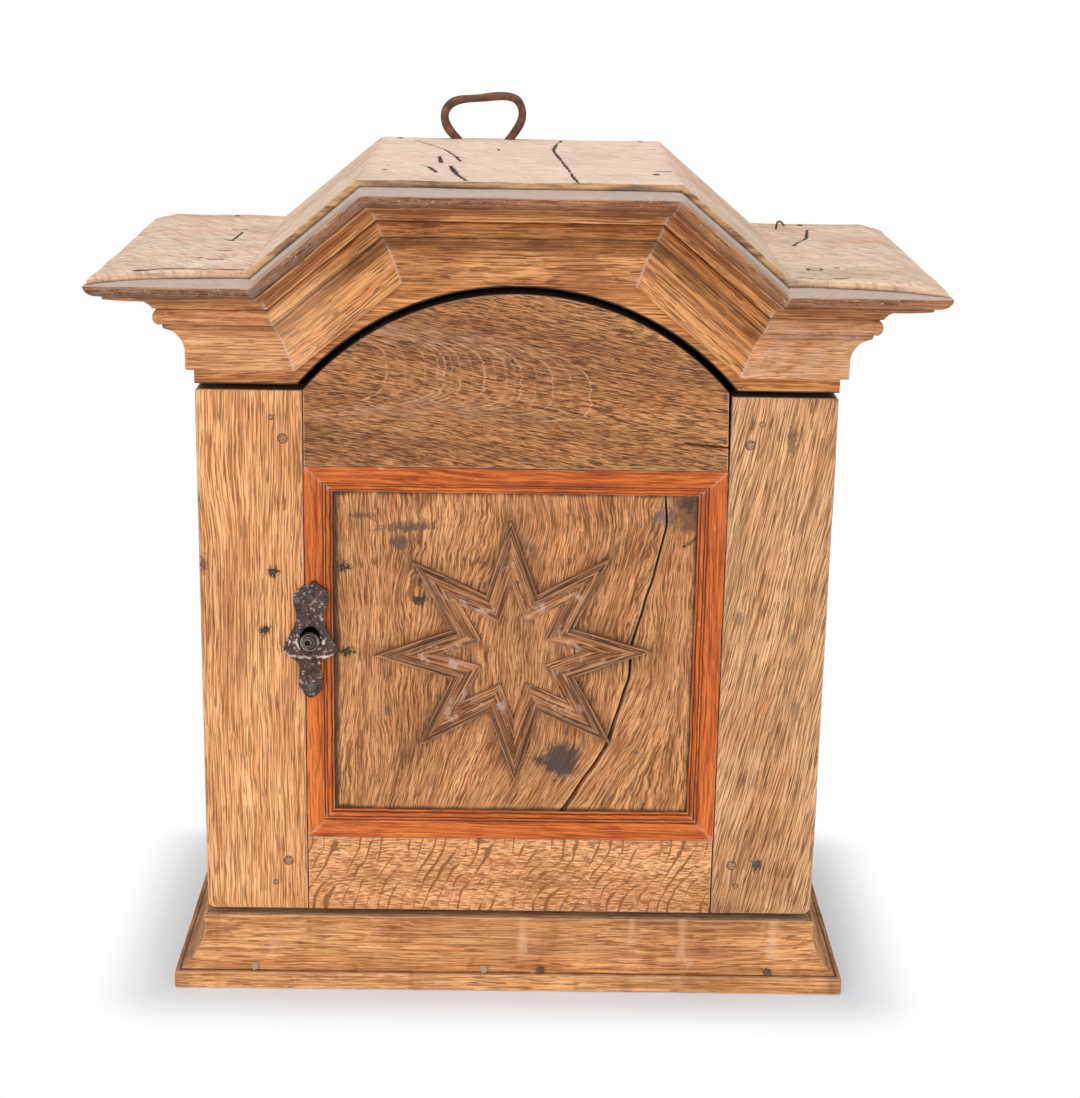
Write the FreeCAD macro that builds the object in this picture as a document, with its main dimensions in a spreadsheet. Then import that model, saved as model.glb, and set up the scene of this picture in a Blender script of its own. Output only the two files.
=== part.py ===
import FreeCAD, Part
import math
import os
import Sketcher
from types import SimpleNamespace

# Oak wall cabinet with a broken-pediment roof, one pegged panel door and a forged hanging loop.
# X runs to the right, Y to the wall, Z up. The origin is the middle of the base, on the floor.

# Driving sizes in millimetres and degrees
SIZES = {
    # Door frame
    "door_width": 460,
    "door_height": 404,
    "door_thick": 24,
    "arch_rise": 71.5,
    "stile_width": 76.5,
    "top_rail_height": 55.5,
    "bottom_rail_height": 59.5,
    "door_gap": 4,
    "arch_gap": 5,
    "tenon_length": 45,
    "tenon_thick": 8,
    "tenon_height": 36,
    "tenon_shoulder": 11,
    "peg_radius": 3.1,
    "peg_inset": 14.5,
    "peg_rise": 20,
    "pin_peg_radius": 1.8,
    "pin_peg_inset": 22,
    "pin_peg_rise": 36,
    # Door panel, its moulded frame and the star
    "panel_thick": 9,
    "panel_recess": 9,
    "panel_groove": 8,
    "panel_play": 0.2,
    "crack_top_side": 110,
    "crack_middle_side": 87,
    "crack_foot_side": 40,
    "crack_width": 2.4,
    "frame_width": 20.5,
    "frame_ovolo": 14.2,
    "frame_ovolo_height": 6.6,
    "frame_quirk_height": 4.2,
    "frame_bead": 18,
    "frame_fillet_height": 3,
    "star_tip": 102.5,
    "star_valley": 49.5,
    "star_strip": 16,
    "star_height": 6.5,
    "star_edge": 2.6,
    "star_edge_height": 4.6,
    "star_inner_height": 3,
    "star_tilt": 1.6,
    "star_shift": 0.6,
    "star_rise": 2,
    # Case
    "case_depth": 236,
    "side_thick": 20,
    "bottom_thick": 20,
    "side_housing": 5,
    "back_thick": 16,
    "back_rebate": 10,
    "back_middle_half": 75,
    "back_lap": 8,
    "shelf_thick": 16,
    "shelf_level": 270,
    "shelf_housing": 6,
    "shelf_setback": 30,
    "rail_thick": 18,
    # Plinth moulding
    "plinth_height": 52,
    "plinth_reach": 23.5,
    "plinth_fillet": 13.5,
    "plinth_step": 4,
    "plinth_top": 3,
    # Cornice, measured out from the front and up from the foot of the cove
    "frieze_reveal": 10,
    "cornice_corner": 158,
    "cornice_top_half": 82,
    "rake": 40,
    "cove_foot": 5.3,
    "cove_flat": 10,
    "cove_reach": 19,
    "cove_rise": 33,
    "cove_fillet": 3,
    "bead_step": 3,
    "cove_height": 47,
    "crown_foot": 24,
    "cyma_reach": 40,
    "cyma_rise": 8,
    "nosing_foot": 54,
    "nosing_rise": 11.5,
    "nosing_fillet": 2.5,
    "nosing_tip": 21.5,
    "cornice_reach": 65,
    "bevel_reach": 21,
    "bevel_rise": 3.5,
    "crown_height": 25.5,
    "roof_thick": 5,
    "roof_side_inset": 2.5,
    # Hinges
    "hinge_gap": 0.8,
    "hinge_offset": 0.4,
    "hinge_inset": 70,
    "leaf_height": 48,
    "leaf_reach": 18,
    "leaf_thick": 1.6,
    "knuckle_radius": 3.2,
    "knuckle_play": 0.4,
    "hinge_pin_radius": 1.5,
    "hinge_pin_play": 0.05,
    "hinge_pin_head": 1.5,
    # Lock, keyhole plate and keeper
    "key_inset": 3.5,
    "key_level": 273.2,
    "drum_radius": 6.4,
    "drum_proud": 1,
    "key_pin_radius": 2.6,
    "key_slot": 3,
    "key_slot_drop": 5.4,
    "lock_reach": 40,
    "lock_width": 74,
    "lock_height": 74,
    "lock_drop": 14.7,
    "lock_nail_inset": 5,
    "lock_plate_thick": 2.5,
    "lock_margin": 18,
    "cover_margin": 6,
    "cover_depth": 16,
    "cover_wall": 1.5,
    "bolt_level": 36,
    "bolt_height": 10,
    "bolt_thick": 6,
    "bolt_lift": 4,
    "bolt_clear": 6,
    "bolt_length": 66,
    "bolt_travel": 12,
    "bolt_play": 0.5,
    "spring_span": 30,
    "spring_thick": 1,
    "keeper_thick": 2,
    "keeper_width": 16,
    "keeper_height": 34,
    "plate_height": 90,
    "plate_half": 20.5,
    "plate_head": 12,
    "plate_waist": 10,
    "plate_tail": 9,
    "plate_thick": 2,
    "plate_hole_half": 7.5,
    "plate_hole_rise": 3.7,
    # Hanging loop
    "loop_shift": 28,
    "loop_bar": 7,
    "loop_span": 60,
    "loop_shoulder": 14,
    "loop_rise": 31.5,
    "loop_tilt": 3,
    "loop_top_half": 22,
    "loop_bend": 13,
    "leg_half": 8,
    "leg_drop": 14,
    "leg_length": 70,
    "leg_room": 1,
    "strap_half": 28,
    "strap_height": 16,
    "strap_thick": 2,
    # Nails
    "nail_radius": 1.4,
    "nail_length": 26,
    "nail_head_radius": 3.4,
    "nail_head": 1.2,
    "leaf_nail_radius": 1.1,
    "leaf_nail_length": 14,
    "leaf_nail_head_radius": 2.1,
    "leaf_nail_head": 0.8,
    "lock_nail_radius": 1.5,
    "lock_nail_head_radius": 4,
    "lock_nail_head": 2,
    "plate_nail_radius": 1.3,
    "plate_nail_length": 7,
    "plate_nail_head_radius": 3.6,
    "plate_nail_head": 1.6,
    "roof_nail_side": 95,
    "plinth_nail_inner": 21,
    "plinth_nail_outer": 193,
    "plinth_nail_level": 17,
}

SAW_SLACK = 1.0
STAR_ARMS = 8
OVOLO = 0.13
COVE = 0.17
ROUND = 0.42
BEAD = 0.3
SPRING_BOW = 0.13


class Size:
    """A number together with the sheet expression that works it out."""

    def __init__(self, value, text):
        self.value = value
        self.text = text

    def __add__(self, other):
        other = as_size(other)
        return Size(self.value + other.value, f"({self.text} + {other.text})")

    def __sub__(self, other):
        other = as_size(other)
        return Size(self.value - other.value, f"({self.text} - {other.text})")

    def __mul__(self, other):
        other = as_size(other)
        return Size(self.value * other.value, f"({self.text} * {other.text})")

    def __truediv__(self, other):
        other = as_size(other)
        return Size(self.value / other.value, f"({self.text} / {other.text})")

    def __rsub__(self, other):
        return as_size(other) - self

    def __neg__(self):
        return as_size(0) - self

    __radd__ = __add__
    __rmul__ = __mul__


def as_size(value):
    """A plain number, taken as a size."""
    if isinstance(value, Size):
        return value
    return Size(float(value), f"{value:.6f}")


def root(size):
    return Size(math.sqrt(size.value), f"sqrt({size.text})")


def sine(angle):
    return Size(math.sin(math.radians(angle.value)), f"sin({angle.text})")


def cosine(angle):
    return Size(math.cos(math.radians(angle.value)), f"cos({angle.text})")


def tangent(angle):
    return Size(math.tan(math.radians(angle.value)), f"tan({angle.text})")


def slope(rise, run):
    """The angle in degrees of a line with this rise and run."""
    return Size(math.degrees(math.atan2(rise.value, run.value)), f"atan2({rise.text}; {run.text})")


doc = FreeCAD.newDocument("wall_cabinet")
sheet = doc.addObject("Spreadsheet::Sheet", "dim")
for row, (name, value) in enumerate(SIZES.items(), 1):
    sheet.set(f"A{row}", name)
    sheet.set(f"B{row}", str(value))
    sheet.setAlias(f"B{row}", name)
doc.recompute()
d = SimpleNamespace(**{name: Size(float(sheet.get(name)), f"dim.{name}") for name in SIZES})
nodes = []


def keep(piece):
    """Count a finished piece as one of the cabinet's sub-parts."""
    nodes.append(piece)
    return piece


def bind(piece, path, size):
    piece.setExpression(path, as_size(size).text)


def place(piece, point):
    for axis, size in zip("xyz", point):
        bind(piece, f"Placement.Base.{axis}", size)


def turn(piece, sense, angle):
    """Turn a piece about the Y axis: sense 1 by the right-hand rule, -1 the other way."""
    axis = FreeCAD.Vector(0, sense, 0)
    piece.Placement = FreeCAD.Placement(FreeCAD.Vector(), FreeCAD.Rotation(axis, max(angle.value, 1)))
    bind(piece, "Placement.Rotation.Angle", angle)


def box(label, low, high):
    """A square-edged block between two opposite corners."""
    piece = doc.addObject("Part::Box", label)
    for side, start, end in zip(("Length", "Width", "Height"), low, high):
        bind(piece, side, as_size(end) - start)
    place(piece, low)
    return piece


def rod(label, start, direction, radius, length):
    """A round bar from a point along a direction."""
    piece = doc.addObject("Part::Cylinder", label)
    aim = FreeCAD.Rotation(FreeCAD.Vector(0, 0, 1), FreeCAD.Vector(*direction))
    piece.Placement = FreeCAD.Placement(FreeCAD.Vector(), aim)
    bind(piece, "Radius", radius)
    bind(piece, "Height", length)
    place(piece, start)
    return piece


def cut(label, base, *tools):
    piece = doc.addObject("Part::Cut", label)
    piece.Base = base
    piece.Tool = tools[0] if len(tools) == 1 else join(label + "_tools", *tools)
    return piece


def join(label, *shapes):
    piece = doc.addObject("Part::MultiFuse", label)
    piece.Shapes = list(shapes)
    return piece


def common(label, *shapes):
    piece = doc.addObject("Part::MultiCommon", label)
    piece.Shapes = list(shapes)
    return piece


def group(label, pieces):
    """Several separate solids under one name."""
    piece = doc.addObject("Part::Compound", label)
    piece.Links = list(pieces)
    return piece


def mirrored(label, source):
    """The same piece for the other hand, across the middle plane."""
    piece = doc.addObject("Part::Mirroring", label)
    piece.Source = source
    piece.Normal = FreeCAD.Vector(1, 0, 0)
    return piece


def arc_between(start, end, bulge):
    """An arc from start to end that rises left of its chord by bulge times the chord's length."""
    run_x = end[0].value - start[0].value
    run_y = end[1].value - start[1].value
    chord = math.hypot(run_x, run_y)
    rise = abs(bulge) * chord
    radius = (chord * chord / 4 + rise * rise) / (2 * rise)
    side = math.copysign(1, bulge)
    centre_x = (start[0].value + end[0].value) / 2 + side * run_y / chord * (radius - rise)
    centre_y = (start[1].value + end[1].value) / 2 - side * run_x / chord * (radius - rise)
    first, last = (end, start) if bulge > 0 else (start, end)
    turns = [math.atan2(p[1].value - centre_y, p[0].value - centre_x) for p in (first, last)]
    if turns[1] < turns[0]:
        turns[1] += 2 * math.pi
    circle = Part.Circle(FreeCAD.Vector(centre_x, centre_y, 0), FreeCAD.Vector(0, 0, 1), radius)
    return Part.ArcOfCircle(circle, *turns)


def draw(sketch, outline):
    """Draw a closed outline of points; a third value on a point bows the stretch after it."""
    corners = [tuple(as_size(v) for v in point[:2]) for point in outline]
    bulges = [point[2] if len(point) > 2 else 0 for point in outline]
    count = len(corners)
    for index, (start, bulge) in enumerate(zip(corners, bulges)):
        end = corners[(index + 1) % count]
        if bulge:
            sketch.addGeometry(arc_between(start, end, bulge), False)
        else:
            ends = [FreeCAD.Vector(p[0].value, p[1].value, 0) for p in (start, end)]
            sketch.addGeometry(Part.LineSegment(*ends), False)
    heads = [2 if bulge > 0 else 1 for bulge in bulges]
    for index in range(count):
        after = (index + 1) % count
        sketch.addConstraint(Sketcher.Constraint("Coincident", index, 3 - heads[index], after, heads[after]))
    for index, corner in enumerate(corners):
        for kind, size in zip(("DistanceX", "DistanceY"), corner):
            rule = Sketcher.Constraint(kind, -1, 1, index, heads[index], size.value)
            bind(sketch, f"Constraints[{sketch.addConstraint(rule)}]", size)
    for index, bulge in enumerate(bulges):
        if bulge:
            start, end = corners[index], corners[(index + 1) % count]
            runs = [b - a for a, b in zip(start, end)]
            chord = root(runs[0] * runs[0] + runs[1] * runs[1])
            radius = chord * ((0.25 + bulge * bulge) / (2 * abs(bulge)))
            rule = Sketcher.Constraint("Radius", index, radius.value)
            bind(sketch, f"Constraints[{sketch.addConstraint(rule)}]", radius)


def slab(label, plane, outline, near, far):
    """A body with its outline drawn in the XY, XZ or YZ plane, from near to far on the third axis."""
    near, far = as_size(near), as_size(far)
    body = doc.addObject("PartDesign::Body", label)
    sketch = body.newObject("Sketcher::SketchObject", label + "_outline")
    origin = [part for part in body.Origin.OriginFeatures if part.Role == plane + "_Plane"][0]
    sketch.AttachmentSupport = [(origin, "")]
    sketch.MapMode = "FlatFace"
    bind(sketch, "AttachmentOffset.Base.z", -far if plane == "XZ" else near)
    draw(sketch, outline)
    pad = body.newObject("PartDesign::Pad", label + "_pad")
    pad.Profile = sketch
    bind(pad, "Length", far - near)
    return body


def nail(label, head_top, direction, head_radius, head, radius, length):
    """A flat-headed nail whose head's outer face is at head_top, driven along direction."""
    step = [head * axis for axis in direction]
    foot = [as_size(a) + b for a, b in zip(head_top, step)]
    return join(label,
                rod(label + "_head", head_top, direction, head_radius, head),
                rod(label + "_shank", foot, direction, radius, length))


# Levels and planes that the pieces share
half = d.door_width / 2
front = (d.cornice_reach - d.case_depth) / 2
back = (d.cornice_reach + d.case_depth) / 2
door_back = front + d.door_thick
case_front = door_back + d.hinge_gap
back_face = back - d.back_thick
side_inner = half - d.side_thick
board_edge = half - d.back_rebate
seat_level = d.plinth_height - d.side_housing
door_bottom = d.plinth_height + d.door_gap
door_top = door_bottom + d.door_height
rail_low = door_bottom + d.bottom_rail_height
rail_high = door_top - d.top_rail_height
stile_inner = half - d.stile_width
panel_front = front + d.panel_recess
panel_back = panel_front + d.panel_thick
tenon_front = front + (d.door_thick - d.tenon_thick) / 2
frieze_bottom = door_top + d.door_gap
cornice_line = frieze_bottom + d.frieze_reveal
top_line = cornice_line + (d.cornice_corner - d.cornice_top_half) * tangent(d.rake)
lean = tangent(d.rake / 2)
cornice_height = d.cove_height + d.crown_height
roof_low = cornice_line + cornice_height
roof_high = top_line + cornice_height
lock_plate_back = door_back + d.lock_plate_thick
bolt_front = lock_plate_back + d.bolt_lift
key_side = stile_inner - d.key_inset
lock_left = key_side + d.lock_reach
lock_low = d.key_level - d.lock_drop
bolt_low = d.key_level + d.bolt_level - d.bolt_height / 2
cover_left = lock_left - d.lock_margin
cover_right = lock_left - d.lock_width + d.lock_margin
hinge_x = half + d.hinge_offset
hinge_y = door_back + d.hinge_gap / 2
hinge_feet = [door_bottom + d.hinge_inset - d.leaf_height / 2, door_top - d.hinge_inset - d.leaf_height / 2]
loop_x = -d.loop_shift
loop_y = back - d.strap_thick - d.loop_bar / 2
leg_foot = roof_high + d.roof_thick - d.leg_length
strap_low = leg_foot + d.strap_height / 2


# Nails that hold iron on wood
def leaf_nail(label, head_top, direction):
    return nail(label, head_top, direction, d.leaf_nail_head_radius, d.leaf_nail_head,
                d.leaf_nail_radius, d.leaf_nail_length)


def hinge_nails(side, head_y, direction):
    """Three nails in each leaf, on a line up its middle."""
    nails = []
    x = hinge_x - (d.leaf_reach + d.knuckle_radius + d.knuckle_play) / 2
    for number, foot in enumerate(hinge_feet):
        for step in (1, 3, 5):
            z = foot + d.leaf_height * (step / 6)
            nails.append(leaf_nail(f"{side}_nail_{number}_{step}", (x, head_y, z), direction))
    return nails


def keeper_nails():
    y = bolt_front + d.bolt_thick / 2
    reach = (d.keeper_height + d.bolt_height) / 4 + d.bolt_play / 2
    middle = bolt_low + d.bolt_height / 2
    return [leaf_nail(f"keeper_nail_{name}", (-side_inner, y, middle + sign * reach), (-1, 0, 0))
            for name, sign in (("upper", 1), ("lower", -1))]


def strap_nails():
    z = strap_low + d.strap_height / 2
    reach = (d.strap_half + d.leg_half + d.loop_bar / 2) / 2 + d.leg_room
    return [nail(f"strap_nail_{name}", (loop_x + sign * reach, back, z), (0, -1, 0), d.leaf_nail_head_radius,
                 d.leaf_nail_head, d.leaf_nail_radius, d.back_thick / 2)
            for name, sign in (("left", -1), ("right", 1))]


def lock_nails():
    """Four long nails through the lock plate, with their points at the front of stile and panel."""
    nails = []
    for name, x, point_y in (("left", lock_left - d.lock_margin / 2, front),
                             ("right", lock_left - d.lock_width + d.lock_margin / 2, panel_front)):
        for level, z in (("low", lock_low + d.lock_nail_inset),
                         ("high", lock_low + d.lock_height - d.lock_nail_inset)):
            head_top = (-x, lock_plate_back + d.lock_nail_head, z)
            nails.append(nail(f"lock_nail_{name}_{level}", head_top, (0, -1, 0), d.lock_nail_head_radius,
                              d.lock_nail_head, d.lock_nail_radius, lock_plate_back - point_y))
    return nails


def plate_nails():
    """Two round-headed nails, in the head and the tail of the keyhole plate."""
    foot = d.key_level - d.plate_height / 2
    spots = (("head", foot + d.plate_height - d.plate_head), ("tail", foot + d.plate_tail))
    return [nail(f"plate_nail_{name}", (-key_side, front - d.plate_thick - d.plate_nail_head, z), (0, 1, 0),
                 d.plate_nail_head_radius, d.plate_nail_head, d.plate_nail_radius,
                 d.plate_thick + d.plate_nail_length)
            for name, z in spots]


def roof_nails():
    """Nails down through the flat roof boards, into the frieze and the back."""
    nails = []
    frieze_y = (front + case_front) / 2
    back_y = (back_face + back) / 2
    wing_x = half - d.back_rebate / 2
    for name, x, level in (("wing", wing_x, roof_low), ("top", d.roof_nail_side, roof_high)):
        for row, y in (("front", frieze_y), ("back", back_y)):
            for hand, sign in (("left", -1), ("right", 1)):
                head_top = (x * sign, y, level + d.roof_thick)
                nails.append(nail(f"roof_nail_{name}_{row}_{hand}", head_top, (0, 0, -1), d.nail_head_radius,
                                  d.nail_head, d.nail_radius, d.nail_length))
    return nails


def plinth_nails():
    spots = (-d.plinth_nail_outer, -d.plinth_nail_inner, d.plinth_nail_inner, d.plinth_nail_outer)
    return [nail(f"plinth_nail_{number}", (x, front - d.plinth_reach + d.plinth_step, d.plinth_nail_level),
                 (0, 1, 0), d.nail_head_radius, d.nail_head, d.nail_radius, d.nail_length)
            for number, x in enumerate(spots)]


case_nails = keep(group("case_leaf_nails", hinge_nails("case", case_front, (0, 1, 0)) + keeper_nails()
                        + strap_nails()))
door_nails = keep(group("door_leaf_nails", hinge_nails("door", door_back, (0, -1, 0))))
lock_nail_group = keep(group("lock_nails", lock_nails()))
plate_nail_group = keep(group("keyhole_plate_nails", plate_nails()))
roof_nail_group = keep(group("roof_nails", roof_nails()))
plinth_nail_group = keep(group("plinth_nails", plinth_nails()))


# Hinges: two leaves with three knuckles round a pin
def hinge_leaf(label, foot, thirds, low_y, high_y, nails):
    room = d.knuckle_radius + d.knuckle_play
    plate_low = (hinge_x - d.leaf_reach, low_y, foot)
    parts = [box(label + "_plate", plate_low, (hinge_x - room, high_y, foot + d.leaf_height))]
    for third in thirds:
        low = foot + d.leaf_height * (third / 3) + d.knuckle_play / 2
        high = foot + d.leaf_height * ((third + 1) / 3) - d.knuckle_play / 2
        parts.append(box(f"{label}_tongue_{third}", (hinge_x - room, low_y, low), (hinge_x, high_y, high)))
        parts.append(rod(f"{label}_knuckle_{third}", (hinge_x, hinge_y, low), (0, 0, 1), d.knuckle_radius,
                         high - low))
    bore = rod(label + "_bore", (hinge_x, hinge_y, foot), (0, 0, 1), d.hinge_pin_radius + d.hinge_pin_play,
               d.leaf_height)
    return cut(label, join(label + "_blank", *parts), bore, nails)


def hinge_room(label, foot, low_y, high_y):
    """The recess for one leaf and the barrel, let into the wood."""
    barrel = d.knuckle_radius + d.knuckle_play
    leaf_low = (hinge_x - d.leaf_reach, low_y, foot)
    return join(label,
                box(label + "_leaf", leaf_low, (hinge_x, high_y, foot + d.leaf_height)),
                rod(label + "_barrel", (hinge_x, hinge_y, foot - d.knuckle_play), (0, 0, 1), barrel,
                    d.leaf_height + d.hinge_pin_head + d.knuckle_play * 2))


def hinge_pin(label, foot):
    head_level = foot + d.leaf_height
    return join(label,
                rod(label + "_shaft", (hinge_x, hinge_y, foot), (0, 0, 1), d.hinge_pin_radius, d.leaf_height),
                rod(label + "_head", (hinge_x, hinge_y, head_level), (0, 0, 1),
                    d.knuckle_radius - d.knuckle_play, d.hinge_pin_head))


leaf_back = case_front + d.leaf_thick
leaf_front = door_back - d.leaf_thick
hinges = list(zip(("lower", "upper"), hinge_feet))
keep(group("hinge_case_leaves",
           [hinge_leaf(f"case_leaf_{name}", foot, (0, 2), case_front, leaf_back, case_nails)
            for name, foot in hinges]))
keep(group("hinge_door_leaves",
           [hinge_leaf(f"door_leaf_{name}", foot, (1,), leaf_front, door_back, door_nails)
            for name, foot in hinges]))
keep(group("hinge_pins", [hinge_pin(f"hinge_pin_{name}", foot) for name, foot in hinges]))
case_hinge_rooms = [hinge_room(f"case_room_{name}", foot, case_front, leaf_back) for name, foot in hinges]
door_hinge_rooms = [hinge_room(f"door_room_{name}", foot, leaf_front, door_back) for name, foot in hinges]


# Case boards
def hand_span(hand, near, far):
    """The low and high X of a stretch from near to far of the middle; hand is -1 left and 1 right."""
    return (near, far) if hand > 0 else (-far, -near)


def side_board(label, hand, tools):
    """A side that stands in the bottom board, housed for the shelf and rebated for the back."""
    low_x, high_x = hand_span(hand, side_inner, half)
    blank = box(label + "_blank", (low_x, case_front, seat_level), (high_x, back, roof_low))
    low_x, high_x = hand_span(hand, side_inner, side_inner + d.shelf_housing)
    housing = box(label + "_housing", (low_x, case_front + d.shelf_setback, d.shelf_level),
                  (high_x, back_face, d.shelf_level + d.shelf_thick))
    low_x, high_x = hand_span(hand, side_inner, board_edge)
    rebate = box(label + "_rebate", (low_x, back_face, seat_level), (high_x, back, roof_low))
    return keep(cut(label, blank, housing, rebate, roof_nail_group, *tools))


bolt_end = side_inner + d.bolt_travel - d.bolt_clear + SAW_SLACK
bolt_slot_low = (-bolt_end, bolt_front - d.bolt_play, bolt_low - d.bolt_play)
bolt_slot_high = (-side_inner + SAW_SLACK, bolt_front + d.bolt_thick + d.bolt_play,
                  bolt_low + d.bolt_height + d.bolt_play)
bolt_slot = box("bolt_slot", bolt_slot_low, bolt_slot_high)
keeper_middle = bolt_low + d.bolt_height / 2
keeper_back = bolt_front + d.bolt_thick / 2 + d.keeper_width / 2
keeper_low = (-side_inner - d.keeper_thick, case_front, keeper_middle - d.keeper_height / 2)
keeper_high = (-side_inner, keeper_back, keeper_middle + d.keeper_height / 2)
keeper_blank = box("keeper_blank", keeper_low, keeper_high)
keep(cut("bolt_keeper", keeper_blank, bolt_slot, case_nails))

side_board("left_side", -1, [bolt_slot, keeper_blank, case_nails])
side_board("right_side", 1, case_hinge_rooms + [case_nails])

bottom_low = d.plinth_height - d.bottom_thick
side_seats = []
for name, low_x, high_x in (("left", -half, -side_inner), ("right", side_inner, half)):
    seat_low = (low_x, case_front, seat_level)
    side_seats.append(box(f"side_seat_{name}", seat_low, (high_x, back_face, d.plinth_height)))
bottom_blank = box("bottom_blank", (-half, front, bottom_low), (half, back_face, d.plinth_height))
keep(cut("bottom_board", bottom_blank, *side_seats))

rail_blank = box("rail_blank", (-half, front, 0), (half, front + d.rail_thick, bottom_low))
keep(cut("base_rail", rail_blank, plinth_nail_group))

shelf_end = side_inner + d.shelf_housing
keep(box("shelf", (-shelf_end, case_front + d.shelf_setback, d.shelf_level),
         (shelf_end, back_face, d.shelf_level + d.shelf_thick)))


# Mitres of the cornice, where the wing meets the rake and the rake meets the top
def low_mitre(height):
    """The point on the left wing's mitre at this height above the cornice line."""
    return (-(d.cornice_corner + lean * height), cornice_line + height)


def high_mitre(height):
    """The point on the left mitre of the top at this height above the top's line."""
    return (-(d.cornice_top_half + lean * height), top_line + height)


def across(point):
    """The same point on the right."""
    return (-point[0], point[1])


low_corner = low_mitre(cornice_height)
high_corner = high_mitre(cornice_height)

lap_middle = back - d.back_thick / 2
lap_edge = d.back_middle_half + d.back_lap
back_outline = [(-half, 0), (-d.back_middle_half, 0), (-d.back_middle_half, roof_high), high_corner,
                low_corner, (-board_edge, roof_low), (-board_edge, seat_level), (-half, seat_level)]
back_left_blank = slab("back_left_blank", "XZ", back_outline, back_face, back)
left_lap = box("back_left_lap", (-lap_edge, back_face, 0), (-d.back_middle_half, lap_middle, roof_high))
back_left_plain = cut("back_left_plain", back_left_blank, left_lap)
keep(cut("back_board_left", back_left_plain, roof_nail_group))
keep(cut("back_board_right", mirrored("back_right_plain", back_left_plain), roof_nail_group))

middle_blank = box("back_middle_blank", (-lap_edge, back_face, 0), (lap_edge, back, roof_high))
middle_laps = [box("middle_lap_left", (-lap_edge, lap_middle, 0), (-d.back_middle_half, back, roof_high)),
               box("middle_lap_right", (d.back_middle_half, lap_middle, 0), (lap_edge, back, roof_high))]
leg_room = d.leg_half + d.loop_bar / 2 + d.leg_room
loop_room_low = leg_foot - d.leg_room
leg_slot = box("leg_slot", (loop_x - leg_room * 2, back - d.strap_thick - d.loop_bar, loop_room_low),
               (loop_x + leg_room * 2, back, roof_high))
strap_blank = box("strap_blank", (loop_x - d.strap_half, back - d.strap_thick, strap_low),
                  (loop_x + d.strap_half, back, strap_low + d.strap_height))
keep(cut("back_board_middle", middle_blank, *middle_laps, leg_slot, strap_blank, case_nails))
keep(cut("hanger_strap", strap_blank, case_nails))

# Frieze board with the arch for the door
arch_radius = (stile_inner * stile_inner + d.arch_rise * d.arch_rise) / (d.arch_rise * 2)
arch_centre = door_top + d.arch_rise - arch_radius
frieze_radius = arch_radius + d.arch_gap
frieze_outline = [(-half, frieze_bottom), (half, frieze_bottom), (half, roof_low), across(low_corner),
                  across(high_corner), high_corner, low_corner, (-half, roof_low)]
frieze_blank = slab("frieze_blank", "XZ", frieze_outline, front, case_front)
arch_tool = rod("arch_tool", (0, front - SAW_SLACK, arch_centre), (0, 1, 0), frieze_radius,
                case_front - front + 2 * SAW_SLACK)
arch_below = box("arch_below", (-half, front - SAW_SLACK, arch_centre - frieze_radius),
                 (half, case_front + SAW_SLACK, frieze_bottom))
keep(cut("frieze_board", frieze_blank, cut("arch_cutter", arch_tool, arch_below), roof_nail_group))


# Roof boards on the cornice, mitred where they meet
def roof_board(label, outline, tools=()):
    blank = slab(label + "_blank", "XZ", outline, front - d.cornice_reach + d.bevel_reach, back)
    return cut(label, blank, roof_nail_group, *tools)


roof_edge = half + d.cornice_reach - d.roof_side_inset
roof_top_height = cornice_height + d.roof_thick
low_corner_top = low_mitre(roof_top_height)
high_corner_top = high_mitre(roof_top_height)
wing_top = roof_low + d.roof_thick
left_wing = keep(roof_board("roof_left_wing", [(-roof_edge, roof_low), low_corner, low_corner_top,
                                               (-roof_edge, wing_top)]))
keep(mirrored("roof_right_wing", left_wing))
left_slope = keep(slab("roof_left_slope", "XZ", [low_corner, high_corner, high_corner_top, low_corner_top],
                       front - d.cornice_reach + d.bevel_reach, back))
keep(mirrored("roof_right_slope", left_slope))
loop_notch_half = d.loop_span / 2
loop_notch = box("loop_notch", (loop_x - loop_notch_half, back - d.strap_thick - d.loop_bar, roof_high),
                 (loop_x + loop_notch_half, back, roof_high + d.roof_thick))
keep(roof_board("roof_top", [high_corner, across(high_corner), across(high_corner_top), high_corner_top],
                [loop_notch]))

# Cornice mouldings, given as (reach from the face, height above the cornice line)
cove_profile = [(0, 0), (d.cove_foot, 0), (d.cove_foot, d.cove_flat, COVE), (d.cove_reach, d.cove_rise),
                (d.cove_reach, d.cove_rise + d.cove_fillet),
                (d.cove_reach + d.bead_step, d.cove_rise + d.cove_fillet, -OVOLO * 2),
                (d.cove_reach + d.bead_step, d.cove_height), (0, d.cove_height)]
nosing_level = d.cove_height + d.nosing_rise
crown_profile = [(0, d.cove_height), (d.crown_foot, d.cove_height, COVE),
                 (d.cyma_reach, d.cove_height + d.cyma_rise), (d.nosing_foot, nosing_level),
                 (d.nosing_foot, nosing_level + d.nosing_fillet, -OVOLO * 1.5),
                 (d.cornice_reach, d.cove_height + d.nosing_tip),
                 (d.cornice_reach, cornice_height - d.bevel_rise),
                 (d.cornice_reach - d.bevel_reach, cornice_height), (0, cornice_height)]
saw_reach = d.cornice_reach + SAW_SLACK
saw_height = cornice_height + SAW_SLACK
saw_left = -(half + saw_reach)


def front_profile(profile, line):
    """The profile on the front, seen from the end: Y runs back and Z up."""
    return [(front - point[0], line + point[1], *[-bulge for bulge in point[2:]]) for point in profile]


def side_profile(profile, line):
    """The profile on the left side, seen from the front."""
    return [(-half - point[0], line + point[1], *[-bulge for bulge in point[2:]]) for point in profile]


def saw_block(label, outline):
    """The stretch of the front between two saw cuts, seen from the front."""
    return slab(label, "XZ", outline, saw_front, front + SAW_SLACK)


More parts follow.
